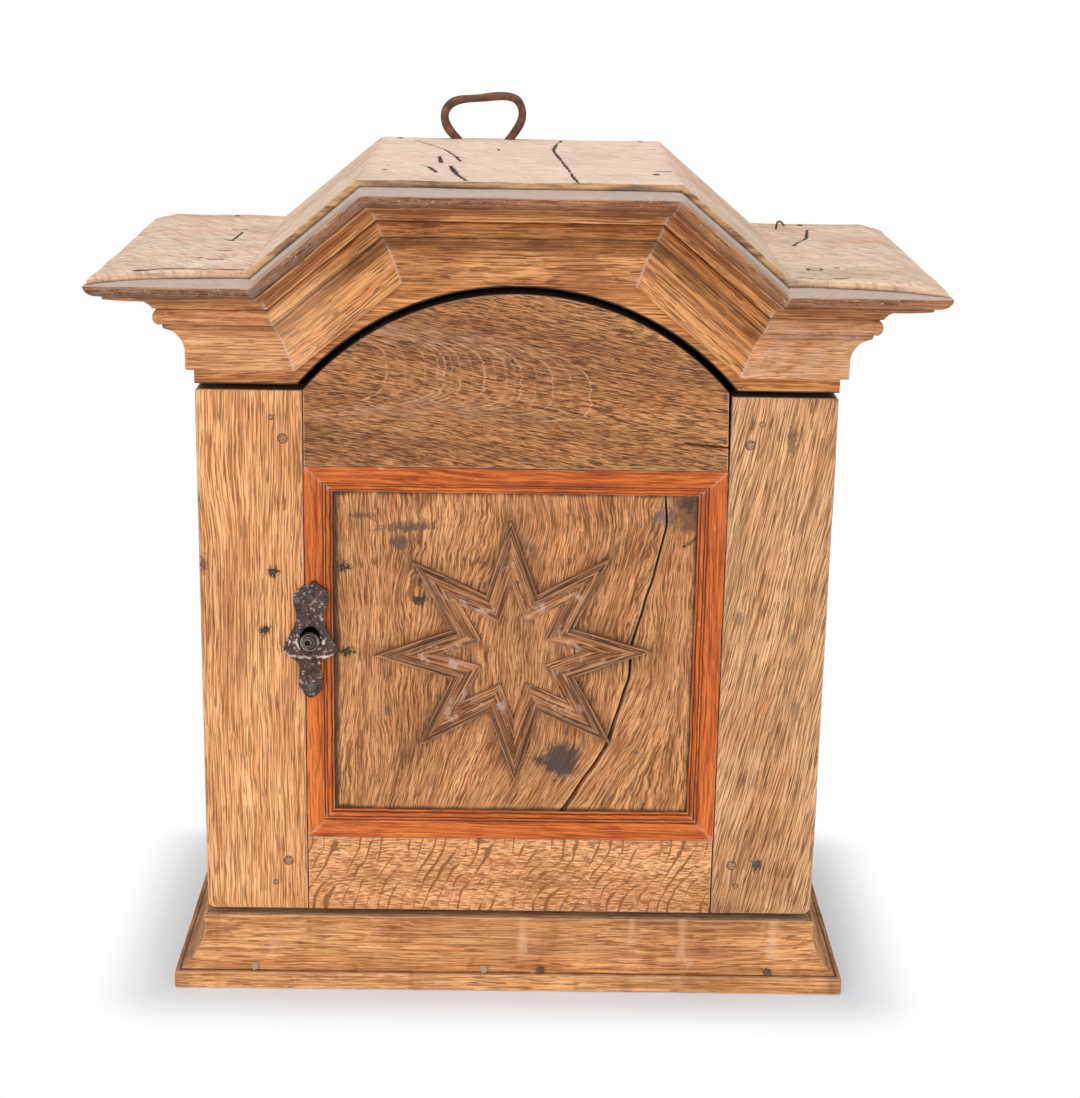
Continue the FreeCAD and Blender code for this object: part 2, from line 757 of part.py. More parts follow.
under = as_size(-SAW_SLACK)
saw_low, saw_high = cornice_line - SAW_SLACK, cornice_line + saw_height
saw_front = front - saw_reach
low_ends = (low_mitre(under), low_mitre(saw_height))
high_ends = (high_mitre(under), high_mitre(saw_height))
wing_block = saw_block("wing_block", [(saw_left, saw_low), *low_ends, (saw_left, saw_high)])
rake_block = saw_block("rake_block", [low_ends[0], *high_ends, low_ends[1]])
top_block = saw_block("top_block", [high_ends[0], across(high_ends[0]), across(high_ends[1]), high_ends[1]])
wing_outline = [(-half, front), (saw_left, saw_front), (0, saw_front), (0, front)]
wing_corner = slab("wing_corner", "XY", wing_outline, saw_low, saw_high)
return_outline = [(-half, front), (-half, back), (saw_left, back), (saw_left, saw_front)]
return_corner = slab("return_corner", "XY", return_outline, saw_low, saw_high)
rake_length = (d.cornice_corner - d.cornice_top_half) / cosine(d.rake)
for name, profile in (("cove", cove_profile), ("crown", crown_profile)):
    wing_run = slab(f"{name}_wing_run", "YZ", front_profile(profile, cornice_line), saw_left, 0)
    wing = keep(common(f"{name}_left_wing", wing_run, wing_block, wing_corner))
    rake_run = slab(f"{name}_rake_run", "YZ", front_profile(profile, as_size(0)), -saw_height,
                    rake_length + saw_height)
    turn(rake_run, -1, d.rake)
    place(rake_run, (-d.cornice_corner, 0, cornice_line))
    rake = keep(common(f"{name}_left_rake", rake_run, rake_block))
    top_run = slab(f"{name}_top_run", "YZ", front_profile(profile, top_line), -half, half)
    keep(common(f"{name}_top", top_run, top_block))
    return_run = slab(f"{name}_return_run", "XZ", side_profile(profile, cornice_line), saw_front, back)
    side_return = keep(common(f"{name}_left_return", return_run, return_corner))
    for part, piece in (("wing", wing), ("rake", rake), ("return", side_return)):
        keep(mirrored(f"{name}_right_{part}", piece))

# Plinth mouldings round the bottom board
plinth_profile = [(0, 0), (d.plinth_reach, 0), (d.plinth_reach, d.plinth_fillet),
                  (d.plinth_reach - d.plinth_step, d.plinth_fillet, COVE), (d.plinth_top, d.plinth_height),
                  (0, d.plinth_height)]
foot_reach = d.plinth_reach + SAW_SLACK
foot_left = -(half + foot_reach)
foot_front = front - foot_reach
foot_high = d.plinth_height + SAW_SLACK
plinth_outline = [(-half, front), (foot_left, foot_front), (-foot_left, foot_front), (half, front)]
plinth_block = slab("plinth_block", "XY", plinth_outline, -SAW_SLACK, foot_high)
plinth_side_outline = [(-half, front), (-half, back), (foot_left, back), (foot_left, foot_front)]
plinth_corner = slab("plinth_corner", "XY", plinth_side_outline, -SAW_SLACK, foot_high)
plinth_run = slab("plinth_run", "YZ", front_profile(plinth_profile, as_size(0)), foot_left, -foot_left)
keep(cut("plinth_front", common("plinth_front_blank", plinth_run, plinth_block), plinth_nail_group))
plinth_side_run = slab("plinth_side_run", "XZ", side_profile(plinth_profile, as_size(0)), foot_front, back)
plinth_left = keep(common("plinth_left", plinth_side_run, plinth_corner))
keep(mirrored("plinth_right", plinth_left))


# Hanging loop: one round bar bent over the roof, with both legs let into the back
def bent_bar(points, bend, bar):
    """A round bar along straight runs whose corners are arcs of the bend radius."""
    edges = []
    last = points[0]
    for before, corner, after in zip(points, points[1:], points[2:]):
        inward = (before - corner).normalize()
        outward = (after - corner).normalize()
        opening = inward.getAngle(outward)
        reach = bend / math.tan(opening / 2)
        start, end = corner + inward * reach, corner + outward * reach
        bisector = (inward + outward).normalize()
        middle = corner + bisector * (bend / math.sin(opening / 2) - bend)
        edges += [Part.LineSegment(last, start).toShape(), Part.Arc(start, middle, end).toShape()]
        last = end
    edges.append(Part.LineSegment(last, points[-1]).toShape())
    path = Part.Wire(edges)
    section = Part.Wire(Part.makeCircle(bar / 2, points[0], points[1] - points[0]))
    return path.makePipeShell([section], True, False)


bar_corners = [(-d.leg_half, -d.leg_length), (-d.leg_half, -d.leg_drop), (-d.loop_span / 2, d.loop_shoulder),
               (-d.loop_top_half, d.loop_rise - d.loop_tilt), (d.loop_top_half, d.loop_rise),
               (d.loop_span / 2, d.loop_shoulder), (d.leg_half, -d.leg_drop), (d.leg_half, -d.leg_length)]
hanging_loop = keep(doc.addObject("Part::Feature", "hanging_loop"))
hanging_loop.Shape = bent_bar([FreeCAD.Vector(x.value, 0, z.value) for x, z in bar_corners],
                              d.loop_bend.value, d.loop_bar.value)
place(hanging_loop, (loop_x, loop_y, roof_high + d.roof_thick))

# Key drum and lock
drum_front = front - d.drum_proud
drum_hole = rod("drum_hole", (-key_side, front, d.key_level), (0, 1, 0), d.drum_radius,
                lock_plate_back - front)
drum_blank = rod("drum_blank", (-key_side, drum_front, d.key_level), (0, 1, 0), d.drum_radius,
                 lock_plate_back - drum_front)
key_pin_hole = rod("key_pin_hole", (-key_side, drum_front, d.key_level), (0, 1, 0), d.key_pin_radius,
                   lock_plate_back - drum_front)
key_bit_slot = box("key_bit_slot", (-key_side - d.key_slot / 2, drum_front, d.key_level - d.key_slot_drop),
                   (-key_side + d.key_slot / 2, lock_plate_back, d.key_level))
key_way = join("key_way", key_pin_hole, key_bit_slot)
keep(cut("key_drum", drum_blank, key_way))

lock_plate_blank = box("lock_plate_blank", (-lock_left, door_back, lock_low),
                       (d.lock_width - lock_left, lock_plate_back, lock_low + d.lock_height))
keep(cut("lock_plate", lock_plate_blank, drum_hole, lock_nail_group))
cover_low = lock_low + d.cover_margin
cover_high = lock_low + d.lock_height - d.cover_margin
cover_back = lock_plate_back + d.cover_depth
cover_blank = box("lock_cover_blank", (-cover_left, lock_plate_back, cover_low),
                  (-cover_right, cover_back, cover_high))
cover_room = box("lock_cover_room", (d.cover_wall - cover_left, lock_plate_back, cover_low + d.cover_wall),
                 (-cover_right - d.cover_wall, cover_back - d.cover_wall, cover_high - d.cover_wall))
cover_slot = box("lock_cover_slot", (-cover_left, bolt_front - d.bolt_play, bolt_low - d.bolt_play),
                 (d.cover_wall - cover_left, bolt_front + d.bolt_thick + d.bolt_play,
                  bolt_low + d.bolt_height + d.bolt_play))
keep(cut("lock_cover", cover_blank, cover_room, cover_slot))

bolt_tip = d.bolt_clear - side_inner
keep(box("lock_bolt", (bolt_tip, bolt_front, bolt_low),
         (bolt_tip + d.bolt_length, bolt_front + d.bolt_thick, bolt_low + d.bolt_height)))

spring_level = cover_high - d.cover_wall
spring_middle = -(cover_left + cover_right) / 2
spring_ends = (spring_middle - d.spring_span / 2, spring_middle + d.spring_span / 2)
keep(slab("lock_spring", "XZ", [(spring_ends[0], spring_level - d.spring_thick, -SPRING_BOW),
                                (spring_ends[1], spring_level - d.spring_thick),
                                (spring_ends[1], spring_level, SPRING_BOW), (spring_ends[0], spring_level)],
          bolt_front, bolt_front + d.bolt_thick))

# Keyhole plate: pointed head, waist, flared middle and round tail, the same on both hands
plate_foot = d.key_level - d.plate_height / 2

# Half widths up the plate as (half width, share of the height, bow of the stretch above)
plate_edge = [(as_size(0), 0, -0.22), (d.plate_tail, 0.14, 0.1), (d.plate_tail, 0.29, 0.05),
              (d.plate_half, 0.42, 0.05), (d.plate_waist, 0.67, 0.1), (d.plate_head, 0.83, -0.12),
              (as_size(0), 1, 0)]
plate_right = [(out - key_side, plate_foot + d.plate_height * share, bow) for out, share, bow in plate_edge]
bows = [bow for _, _, bow in plate_edge]
plate_left = [(-out - key_side, plate_foot + d.plate_height * share, bow)
              for (out, share, _), bow in zip(plate_edge[:0:-1], bows[-2::-1])]
plate_outline = plate_right[:-1] + plate_left
plate_blank = slab("keyhole_plate_blank", "XZ", plate_outline, front - d.plate_thick, front)
hole_low, hole_high = d.key_level - d.plate_hole_rise, d.key_level + d.plate_hole_rise
hole_left, hole_right = -key_side - d.plate_hole_half, -key_side + d.plate_hole_half
plate_hole = slab("keyhole_plate_hole", "XZ", [(hole_left, hole_low, -ROUND), (hole_right, hole_low),
                                               (hole_right, hole_high, -ROUND), (hole_left, hole_high)],
                  front - d.plate_thick, front)
keep(cut("keyhole_plate", plate_blank, plate_hole, plate_nail_group))

# Door frame: stiles with mortises, rails with tenons, all grooved for the panel
groove = d.panel_groove
groove_front, groove_back = panel_front, panel_back + d.panel_play
tenon_back = tenon_front + d.tenon_thick
tenon_spans = {"low": (rail_low - d.tenon_shoulder - d.tenon_height, rail_low - d.tenon_shoulder),
               "high": (rail_high + d.tenon_shoulder, rail_high + d.tenon_shoulder + d.tenon_height)}


def pegs():
    """Two wooden pegs through each of the four joints of the frame."""
    found = []
    for hand, sign in (("left", -1), ("right", 1)):
        for level, edge, up in (("low", rail_low, -1), ("high", rail_high, 1)):
            for name, radius, inset, rise in (("peg", d.peg_radius, d.peg_inset, d.peg_rise),
                                              ("pin", d.pin_peg_radius, d.pin_peg_inset, d.pin_peg_rise)):
                spot = ((stile_inner + inset) * sign, front, edge + rise * up)
                found.append(rod(f"{name}_{hand}_{level}", spot, (0, 1, 0), radius, d.door_thick))
    return found


peg_group = keep(group("door_pegs", pegs()))


def stile(label, hand, tools):
    """An upright of the door; hand is -1 on the left and 1 on the right."""
    low_x, high_x = hand_span(hand, stile_inner, half)
    blank = box(label + "_blank", (low_x, front, door_bottom), (high_x, door_back, door_top))
    low_x, high_x = hand_span(hand, stile_inner, stile_inner + groove)
    slot = box(label + "_groove", (low_x, groove_front, rail_low - groove),
               (high_x, groove_back, rail_high + groove))
    low_x, high_x = hand_span(hand, stile_inner, stile_inner + d.tenon_length)
    mortises = [box(f"{label}_mortise_{level}", (low_x, tenon_front, low), (high_x, tenon_back, high))
                for level, (low, high) in tenon_spans.items()]
    return keep(cut(label, blank, slot, *mortises, peg_group, *tools))


stile("door_left_stile", -1, [drum_hole, lock_nail_group, plate_nail_group])
stile("door_right_stile", 1, door_hinge_rooms + [door_nails])


def rail(label, blank, level, groove_low, groove_high):
    low, high = tenon_spans[level]
    end = stile_inner + d.tenon_length
    tenons = [box(f"{label}_tenon_left", (-end, tenon_front, low), (-stile_inner, tenon_back, high)),
              box(f"{label}_tenon_right", (stile_inner, tenon_front, low), (end, tenon_back, high))]
    slot = box(label + "_groove", (-stile_inner, groove_front, groove_low),
               (stile_inner, groove_back, groove_high))
    return keep(cut(label, join(label + "_tenoned", blank, *tenons), slot, peg_group))


rail("door_bottom_rail", box("bottom_rail_blank", (-stile_inner, front, door_bottom),
                             (stile_inner, door_back, rail_low)), "low", rail_low - groove, rail_low)
arch_disc = rod("arch_disc", (0, front, arch_centre), (0, 1, 0), arch_radius, d.door_thick)
arch_square = box("arch_square", (-stile_inner, front, rail_high),
                  (stile_inner, door_back, door_top + d.arch_rise))
rail("door_top_rail", common("top_rail_blank", arch_disc, arch_square), "high", rail_high, rail_high + groove)

# Panel, with the split that has opened along its grain
panel_edge = stile_inner + groove - d.panel_play
panel_low, panel_high = rail_low - groove + d.panel_play, rail_high + groove - d.panel_play
panel_blank = box("panel_blank", (-panel_edge, panel_front, panel_low), (panel_edge, panel_back, panel_high))
sight_low, sight_high = rail_low + d.frame_width, rail_high - d.frame_width
panel_middle = (rail_low + rail_high) / 2
crack_outline = [(d.crack_top_side, sight_high), (d.crack_middle_side - d.crack_width / 4, panel_middle),
                 (d.crack_foot_side - d.crack_width / 2, sight_low),
                 (d.crack_foot_side + d.crack_width / 2, sight_low),
                 (d.crack_middle_side + d.crack_width / 4, panel_middle)]
crack = slab("panel_crack", "XZ", crack_outline, panel_front, panel_back)
keep(cut("door_panel", panel_blank, crack, drum_hole, lock_nail_group))

# Moulded frame planted round the panel, given as (reach in from the edge, height over the panel, bow)
frame_profile = [(as_size(0), 0, 0), (d.frame_width, 0, 0), (d.frame_width, d.frame_fillet_height, 0),
                 (d.frame_bead, d.frame_fillet_height, 0), (d.frame_bead, d.frame_quirk_height, -BEAD),
                 (d.frame_ovolo, d.frame_quirk_height, 0), (d.frame_ovolo, d.frame_ovolo_height, -OVOLO / 2),
                 (as_size(0), d.panel_recess, 0)]
inner_x = stile_inner - d.frame_width
top_ends = [(-stile_inner, rail_high), (-inner_x, sight_high)]
bottom_ends = [(-stile_inner, rail_low), (-inner_x, sight_low)]
top_outline = top_ends + [across(top_ends[1]), across(top_ends[0])]
bottom_outline = bottom_ends + [across(bottom_ends[1]), across(bottom_ends[0])]
top_frame_block = slab("top_frame_block", "XZ", top_outline, front, panel_front)
bottom_frame_block = slab("bottom_frame_block", "XZ", bottom_outline, front, panel_front)
left_frame_block = slab("left_frame_block", "XZ", bottom_ends + top_ends[::-1], front, panel_front)
top_profile = [(panel_front - height, rail_high - reach, -bow) for reach, height, bow in frame_profile]
bottom_profile = [(panel_front - height, rail_low + reach, bow) for reach, height, bow in frame_profile]
left_profile = [(reach - stile_inner, panel_front - height, -bow) for reach, height, bow in frame_profile]
top_frame_run = slab("top_frame_run", "YZ", top_profile, -stile_inner, stile_inner)
bottom_frame_run = slab("bottom_frame_run", "YZ", bottom_profile, -stile_inner, stile_inner)
left_frame_run = slab("left_frame_run", "XY", left_profile, rail_low, rail_high)
keep(common("panel_frame_top", top_frame_run, top_frame_block))
keep(common("panel_frame_bottom", bottom_frame_run, bottom_frame_block))
left_frame = common("panel_frame_left_plain", left_frame_run, left_frame_block)
keep(mirrored("panel_frame_right", left_frame))
keep(cut("panel_frame_left", left_frame, drum_hole, plate_nail_group))

# Star of sixteen mitred strips, drawn about its own centre and set on the panel
half_arm = as_size(180 / STAR_ARMS)
valley = (d.star_valley * sine(half_arm), d.star_valley * cosine(half_arm))
strip_length = root(valley[0] * valley[0] + (d.star_tip - valley[1]) * (d.star_tip - valley[1]))
strip_profile = [(0, 0), (-d.star_edge_height, 0), (-d.star_edge_height, -d.star_edge),
                 (-d.star_height, -d.star_edge), (-d.star_inner_height, -d.star_strip), (0, -d.star_strip)]
strip_run = slab("star_strip_run", "YZ", strip_profile, 0, strip_length + d.star_strip * 2)
dive = slope(d.star_tip - valley[1], valley[0])
turn(strip_run, 1, dive)
place(strip_run, (0, 0, d.star_tip))
sector_reach = d.star_tip + SAW_SLACK
sector_outline = [(0, 0), (sector_reach * tangent(half_arm), sector_reach), (0, sector_reach)]
sector = slab("star_sector", "XZ", sector_outline, -d.star_height - SAW_SLACK, SAW_SLACK)
right_strip = common("star_right_strip", strip_run, sector)
strips = []
for hand, source in (("right", right_strip), ("left", mirrored("star_left_strip", right_strip))):
    for arm in range(STAR_ARMS):
        strip = doc.addObject("App::Link", f"star_{hand}_{arm}")
        strip.LinkedObject = source
        strip.LinkTransform = False
        turn(strip, -1, d.star_tilt + 360 / STAR_ARMS * arm)
        place(strip, (-d.star_shift, panel_front, panel_middle + d.star_rise))
        strips.append(strip)
keep(group("star_strips", strips))

# Check every object, then write one file for each sub-part
doc.recompute()
failed = [item.Label for item in doc.Objects if {"Invalid", "Error"} & set(item.State)]
failed += [node.Label for node in nodes if node.Shape.isNull() or not node.Shape.isValid()]
if failed:
    raise RuntimeError("not built: " + ", ".join(failed))
os.makedirs("parts", exist_ok=True)
for node in nodes:
    node.Shape.exportStep(f"parts/{node.Label}.step")
print(len(nodes), "sub-parts written")
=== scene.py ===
from functools import reduce
from math import cos, pi, radians, sin

import bpy
import numpy as np
from mathutils import Matrix, Vector


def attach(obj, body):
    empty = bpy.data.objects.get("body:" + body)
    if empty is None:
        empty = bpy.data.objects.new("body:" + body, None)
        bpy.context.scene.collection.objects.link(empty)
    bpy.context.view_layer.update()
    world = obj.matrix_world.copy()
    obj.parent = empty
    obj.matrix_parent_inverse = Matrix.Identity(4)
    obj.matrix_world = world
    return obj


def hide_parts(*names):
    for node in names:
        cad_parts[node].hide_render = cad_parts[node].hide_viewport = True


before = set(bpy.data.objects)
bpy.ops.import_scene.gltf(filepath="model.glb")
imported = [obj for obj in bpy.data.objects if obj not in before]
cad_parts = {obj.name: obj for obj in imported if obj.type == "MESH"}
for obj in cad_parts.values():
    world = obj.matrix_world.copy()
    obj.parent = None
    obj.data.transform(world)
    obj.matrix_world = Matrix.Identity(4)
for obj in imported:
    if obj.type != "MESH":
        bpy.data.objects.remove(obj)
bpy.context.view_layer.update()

# Sizes of the cabinet in millimetres along the frame's axes, its slopes and the star's angle
MM = 0.001
HALF, FRONT, BACK = 230.0, -85.5, 150.5
DOOR_BACK, DOOR_LOW, DOOR_HIGH = -61.5, 56.0, 460.0
STILE_EDGE, RAIL_LOW, RAIL_HIGH = 153.5, 115.5, 404.5
ARCH_RADIUS, ARCH_CENTRE = 200.52, 330.98
PANEL_FRONT, PANEL_BACK, PANEL_MIDDLE = -76.5, -67.5, 260.0
PANEL_SIDE, PANEL_FOOT, PANEL_TOP = 152.0, 117.0, 403.0
SEEN_SIDE, SEEN_HIGH = 133.0, 124.0
CORNICE_LINE, TOP_LINE, CORNER, TOP_CORNER, LEAN = 474.0, 537.77, 158.0, 82.0, 0.36397
CORNICE_RISE, ROOF_THICK, ROOF_SIDE = 72.5, 5.0, 292.5
BEVEL_START, BEVEL_FALL = 44.0, 3.5 / 21.0
KEY_X, KEY_Z, PLATE_FRONT = -150.0, 273.2, -87.5
STAR_X, STAR_Z, STAR_TIP, STAR_VALLEY, STAR_TILT = -0.6, 262.0, 102.5, 49.5, radians(1.6)


# Finishes

class Nodes:
    """Shader nodes put down step by step. A step gives its node, and the shorter ways the socket with the
    result."""

    def __init__(self, owner, output):
        owner.use_nodes = True
        self.nodes, self.links = owner.node_tree.nodes, owner.node_tree.links
        self.nodes.clear()
        self.output = self.nodes.new(output)

    def step(self, kind, inputs=None, **settings):
        node = self.nodes.new("ShaderNode" + kind)
        for name, value in settings.items():
            setattr(node, name, value)
        for key, value in (inputs or {}).items():
            if isinstance(value, bpy.types.NodeSocket):
                self.links.new(value, node.inputs[key])
            else:
                node.inputs[key].default_value = value
        return node

    def show(self, shader):
        self.links.new(shader.outputs[0], self.output.inputs[0])

    def math(self, way, *terms):
        return self.step("Math", dict(enumerate(terms)), operation=way).outputs[0]

    def vector(self, way, *terms):
        node = self.step("VectorMath", dict(enumerate(terms)), operation=way)
        return node.outputs["Value" if way == "LENGTH" else "Vector"]

    def plus(self, base, value, factor=1.0):
        """The base plus a factor times the value."""
        return self.math("MULTIPLY_ADD", value, factor, base)

    def times(self, *factors):
        return reduce(lambda product, factor: self.math("MULTIPLY", product, factor), factors)

    def off(self, value, middle):
        """How far a value is from its middle, to either side."""
        return self.math("ABSOLUTE", self.math("SUBTRACT", value, middle))

    def between(self, value, low, high, start=0.0, end=1.0):
        """A smooth step from start, while the value is under low, to end, once it is over high."""
        return self.step("MapRange", {0: value, 1: low, 2: high, 3: start, 4: end},
                         interpolation_type="SMOOTHSTEP").outputs[0]

    def seen(self):
        """One for rays from the camera and for rays that reach it by a mirror or through glass."""
        path = self.step("LightPath").outputs
        rays = [path[f"Is {kind} Ray"] for kind in ("Camera", "Glossy", "Transmission")]
        return self.math("MINIMUM", reduce(self.plus, rays), 1.0)


class Finish(Nodes):
    """A finish of wood or iron, painted layer over layer."""

    def __init__(self, name, metal=0.0, axes=None):
        self.material = bpy.data.materials.new(name)
        super().__init__(self.material, "ShaderNodeOutputMaterial")
        self.shader = self.step("BsdfPrincipled", {"Metallic": metal})
        self.show(self.shader)
        self.place = self.step("TexCoord").outputs["Object"]
        self.x, self.y, self.z = self.step("SeparateXYZ", {0: self.place}).outputs
        self.grain = self.along(axes) if axes else self.carried("grain", "Vector")
        self.colour = self.height = self.rough = None

    def carried(self, name, output="Fac"):
        """What the mesh carries under a name at each of its points."""
        return self.step("Attribute", attribute_name=name).outputs[output]

    def along(self, axes):
        """Object coordinates in the order along, across and through the grain."""
        parts = dict(zip("XYZ", (self.x, self.y, self.z)))
        return self.step("CombineXYZ", {k: parts[axis] for k, axis in enumerate(axes)}).outputs[0]

    def part(self, k):
        """One part of the grain. On a moulding, 1 is its reach and 2 its height over the line."""
        return self.step("SeparateXYZ", {0: self.grain}).outputs[k]

    def scaled(self, place, scale, turn=(0, 0, 0)):
        """A place turned, then stretched."""
        if any(turn):
            place = self.step("Mapping", {"Vector": place, "Rotation": turn}).outputs[0]
        return self.step("Mapping", {"Vector": place, "Scale": scale}).outputs[0]

    def noise(self, place, waves, detail=3.0, rough=0.55, turn=(0, 0, 0), bend=0.0):
        """Noise between 0 and 1, with so many waves per metre along, across and through. A pair has the
        same number across and through."""
        place = self.scaled(place, (*waves, *waves[1:])[:3], turn)
        return self.step("TexNoise", {"Vector": place, "Scale": 1.0, "Detail": detail, "Roughness": rough,
                                      "Distortion": bend}).outputs[0]

    def swing(self, place, waves, detail=2.0, rough=0.55):
        """Noise about zero."""
        return self.plus(-0.5, self.noise(place, waves, detail, rough))

    def cloud(self, size, detail=3.0, rough=0.55):
        """Noise of one size, in millimetres, in all directions."""
        return self.noise(self.place, (1 / (size * MM),) * 3, detail, rough)

    def strip(self, value, low, high, soft):
        """One from low to high, with soft ends, all in millimetres."""
        rise = self.between(value, (low - soft) * MM, (low + soft) * MM)
        return self.times(rise, self.between(value, (high - soft) * MM, (high + soft) * MM, 1.0, 0.0))

    def tones(self, value, *stops):
        """A colour by a value, blended between stops of a value and its colour."""
        node = self.step("ValToRGB", {0: value})
        ramp = node.color_ramp
        while len(ramp.elements) < len(stops):
            ramp.elements.new(0.5)
        for element, (spot, colour) in zip(ramp.elements, stops):
            element.position = spot
            element.color = (*colour, 1.0)
        return node.outputs[0]

    def paint(self, share, colour, way="MIX"):
        """Lays a share of a colour over what is there."""
        over = colour if isinstance(colour, bpy.types.NodeSocket) else (*colour, 1.0)
        layer = self.step("Mix", {0: share, 6: self.colour, 7: over}, data_type="RGBA", blend_type=way)
        self.colour = layer.outputs[2]

    def tint(self, share, colour):
        """Darkens what is there by a share of a colour."""
        self.paint(share, colour, "MULTIPLY")

    def spot(self, x, z, radius, colour, share=0.9, wide=1.0, high=1.0, ragged=0.6, turn=0.0, core=0.35):
        """A stain with a ragged edge round a point of the front, wide or high times its radius, and
        turned."""
        place = self.vector("ADD", self.place, (-x * MM, 0, -z * MM))
        away = self.vector("LENGTH", self.scaled(place, (1 / wide, 0, 1 / high), (0, turn, 0)))
        rag = self.plus(-0.5, self.cloud(radius * 0.5, 3.0, 0.65))
        away = self.plus(away, rag, radius * MM * ragged * -4.0)
        self.paint(self.between(away, radius * MM * core, radius * MM * 1.15, share, 0.0), colour)

    def done(self, bump=0.35, depth=0.5 * MM):
        """Joins colour, roughness and height to the shader."""
        relief = self.step("Bump", {"Height": self.height, "Strength": bump, "Distance": depth}).outputs[0]
        for name, socket in (("Base Color", self.colour), ("Roughness", self.rough), ("Normal", relief)):
            self.links.new(socket, self.shader.inputs[name])


def shade(colour, share):
    """A colour with each of its parts times a share."""
    return tuple(part * share for part in colour)


REDDISH, OLIVE, STAINED = (1.0, 0.84, 0.72), (0.86, 0.93, 0.82), (0.62, 0.5, 0.42)
DRIFT_WAVES, RIPPLE_WAVES = (4, 13), (70, 62)
STREAK_WAVES, BAND_WAVES, HUE_WAVES = (7, 130), (2.6, 32), (12, 85)
DULL_GLOSS = 0.25
woods, irons = [], []


def oak(name, pale, mid, dark, axes=None, plain=False, lean=0.0, sway=0.012, ripple=0.0006, rings=(18, 740),
        depth=0.7, broad=0.3, pores=(45, 920), dash=0.8, hue=0.8, stain=0.35, wear=0.55,
        worn=(0.66, 0.45, 0.29), dusty=0.0, shade_and_grime=0.85):
    """Old oak: slow bands, wide and fine lines along a swaying, rippled grain, reddish and olive streaks,
    short dark pores and slow stains. Unless it is plain, it has pale rubbed edges and painted shade, with
    some grime, in its inner corners and gaps. Rings and pores are waves per metre along and across the grain."""
    f = Finish(name, axes=axes)
    f.shader.inputs["Specular IOR Level"].default_value = DULL_GLOSS
    across = f.times(f.swing(f.grain, RIPPLE_WAVES), ripple * 2)
    across = f.plus(across, f.swing(f.grain, DRIFT_WAVES), sway * 2)
    aside = f.step("CombineXYZ", {1: across}).outputs[0]
    bent = f.vector("ADD", f.scaled(f.grain, (1, 1, 1), (0, 0, lean)), aside)
    streak, band = f.noise(bent, STREAK_WAVES, 3.0, 0.6), f.noise(bent, BAND_WAVES)
    odd = f.noise(bent, HUE_WAVES, 3.0, 0.6)
    wide, line, fibre = (f.noise(bent, (rings[0] * k, rings[1] * k), 2.0, 0.6) for k in (0.5, 1.0, 1.7))
    pore = f.noise(bent, pores, 1.0, 0.5)
    deep = tuple(0.45 * m + 0.55 * d for m, d in zip(mid, dark))
    f.colour = f.tones(f.plus(f.times(band, 0.5), streak, 0.5), (0.38, deep), (0.5, mid), (0.62, pale))
    f.tint(f.between(odd, 0.52, 0.66, 0.0, hue), REDDISH)
    f.tint(f.between(odd, 0.34, 0.47, hue, 0.0), OLIVE)
    for layer, share in ((wide, broad), (line, 1.0), (fibre, 0.8)):
        f.paint(f.between(layer, 0.52, 0.59, 0.0, depth * share), dark)
        f.paint(f.between(layer, 0.38, 0.46, depth * share * 0.6, 0.0), pale)
    f.paint(f.between(pore, 0.585, 0.625, 0.0, dash), shade(dark, 0.7))
    f.tint(f.between(f.cloud(110, 4.0, 0.6), 0.48, 0.68, 0.0, stain), STAINED)
    f.rough = f.between(line, 0.35, 0.65, 0.58, 0.76)
    f.height = f.plus(f.plus(f.times(fibre, -0.6), line, -0.8), pore, -1.0)
    if not plain:
        rub = f.plus(0.33, f.cloud(8, 4.0, 0.7))
        f.paint(f.between(f.times(f.carried("worn"), rub), 0.4 - dusty, 0.8 - dusty, 0.0, wear), worn)
        # Painted shade in inner corners, gaps and round the star, over the real dark seams, cracks and grime
        f.paint(f.between(f.times(f.carried("shade_and_grime"), rub), 0.15, 0.75, 0.0, shade_and_grime), shade(dark, 0.2))
    woods.append(f)
    return f


def iron(name, base, light, rust, rust_share=0.3, speckle=0.6, rough=0.5, metal=0.55):
    """Forged iron: dark skin with slow clouds, rust in patches, pale flakes where it has rubbed and painted
    black shade in the hollows."""
    f = Finish(name, metal, axes="XYZ")
    cloud, flake, grit = f.cloud(11, 4.0, 0.6), f.cloud(2.6, 4.0, 0.72), f.cloud(1.4, 3.0, 0.6)
    f.colour = f.tones(cloud, (0.35, shade(base, 0.5)), (0.62, base))
    f.paint(f.between(f.cloud(7), 0.5, 0.66, 0.0, rust_share), rust)
    f.paint(f.between(f.plus(flake, cloud, 0.3), 0.7, 0.8, 0.0, speckle), light)
    rub = f.plus(f.plus(-0.56, flake), cloud, 1.2)
    f.paint(f.between(f.times(f.carried("worn"), rub), 0.3, 0.52, 0.0, 0.8), light)
    # Painted black shade in the hollows
    f.paint(f.carried("shade_and_grime"), (0.006, 0.005, 0.004))
    f.rough = f.between(grit, 0.3, 0.7, rough + 0.2, rough)
    f.height = f.plus(grit, cloud, 1.6)
    irons.append(f)
    return f


# Shapes

def wander(place, size, seed):
    """Smooth unevenness between about -1 and 1: the mean of five sine waves of unlike length and
    direction."""
    draw = np.random.default_rng(seed)
    ways = draw.normal(size=(5, 3))
    ways /= np.linalg.norm(ways, axis=1, keepdims=True) * size * draw.uniform(0.6, 1.8, (5, 1))
    return np.sin(2 * pi * (place @ ways.T) + draw.uniform(0, 2 * pi, 5)).mean(-1) * 1.6


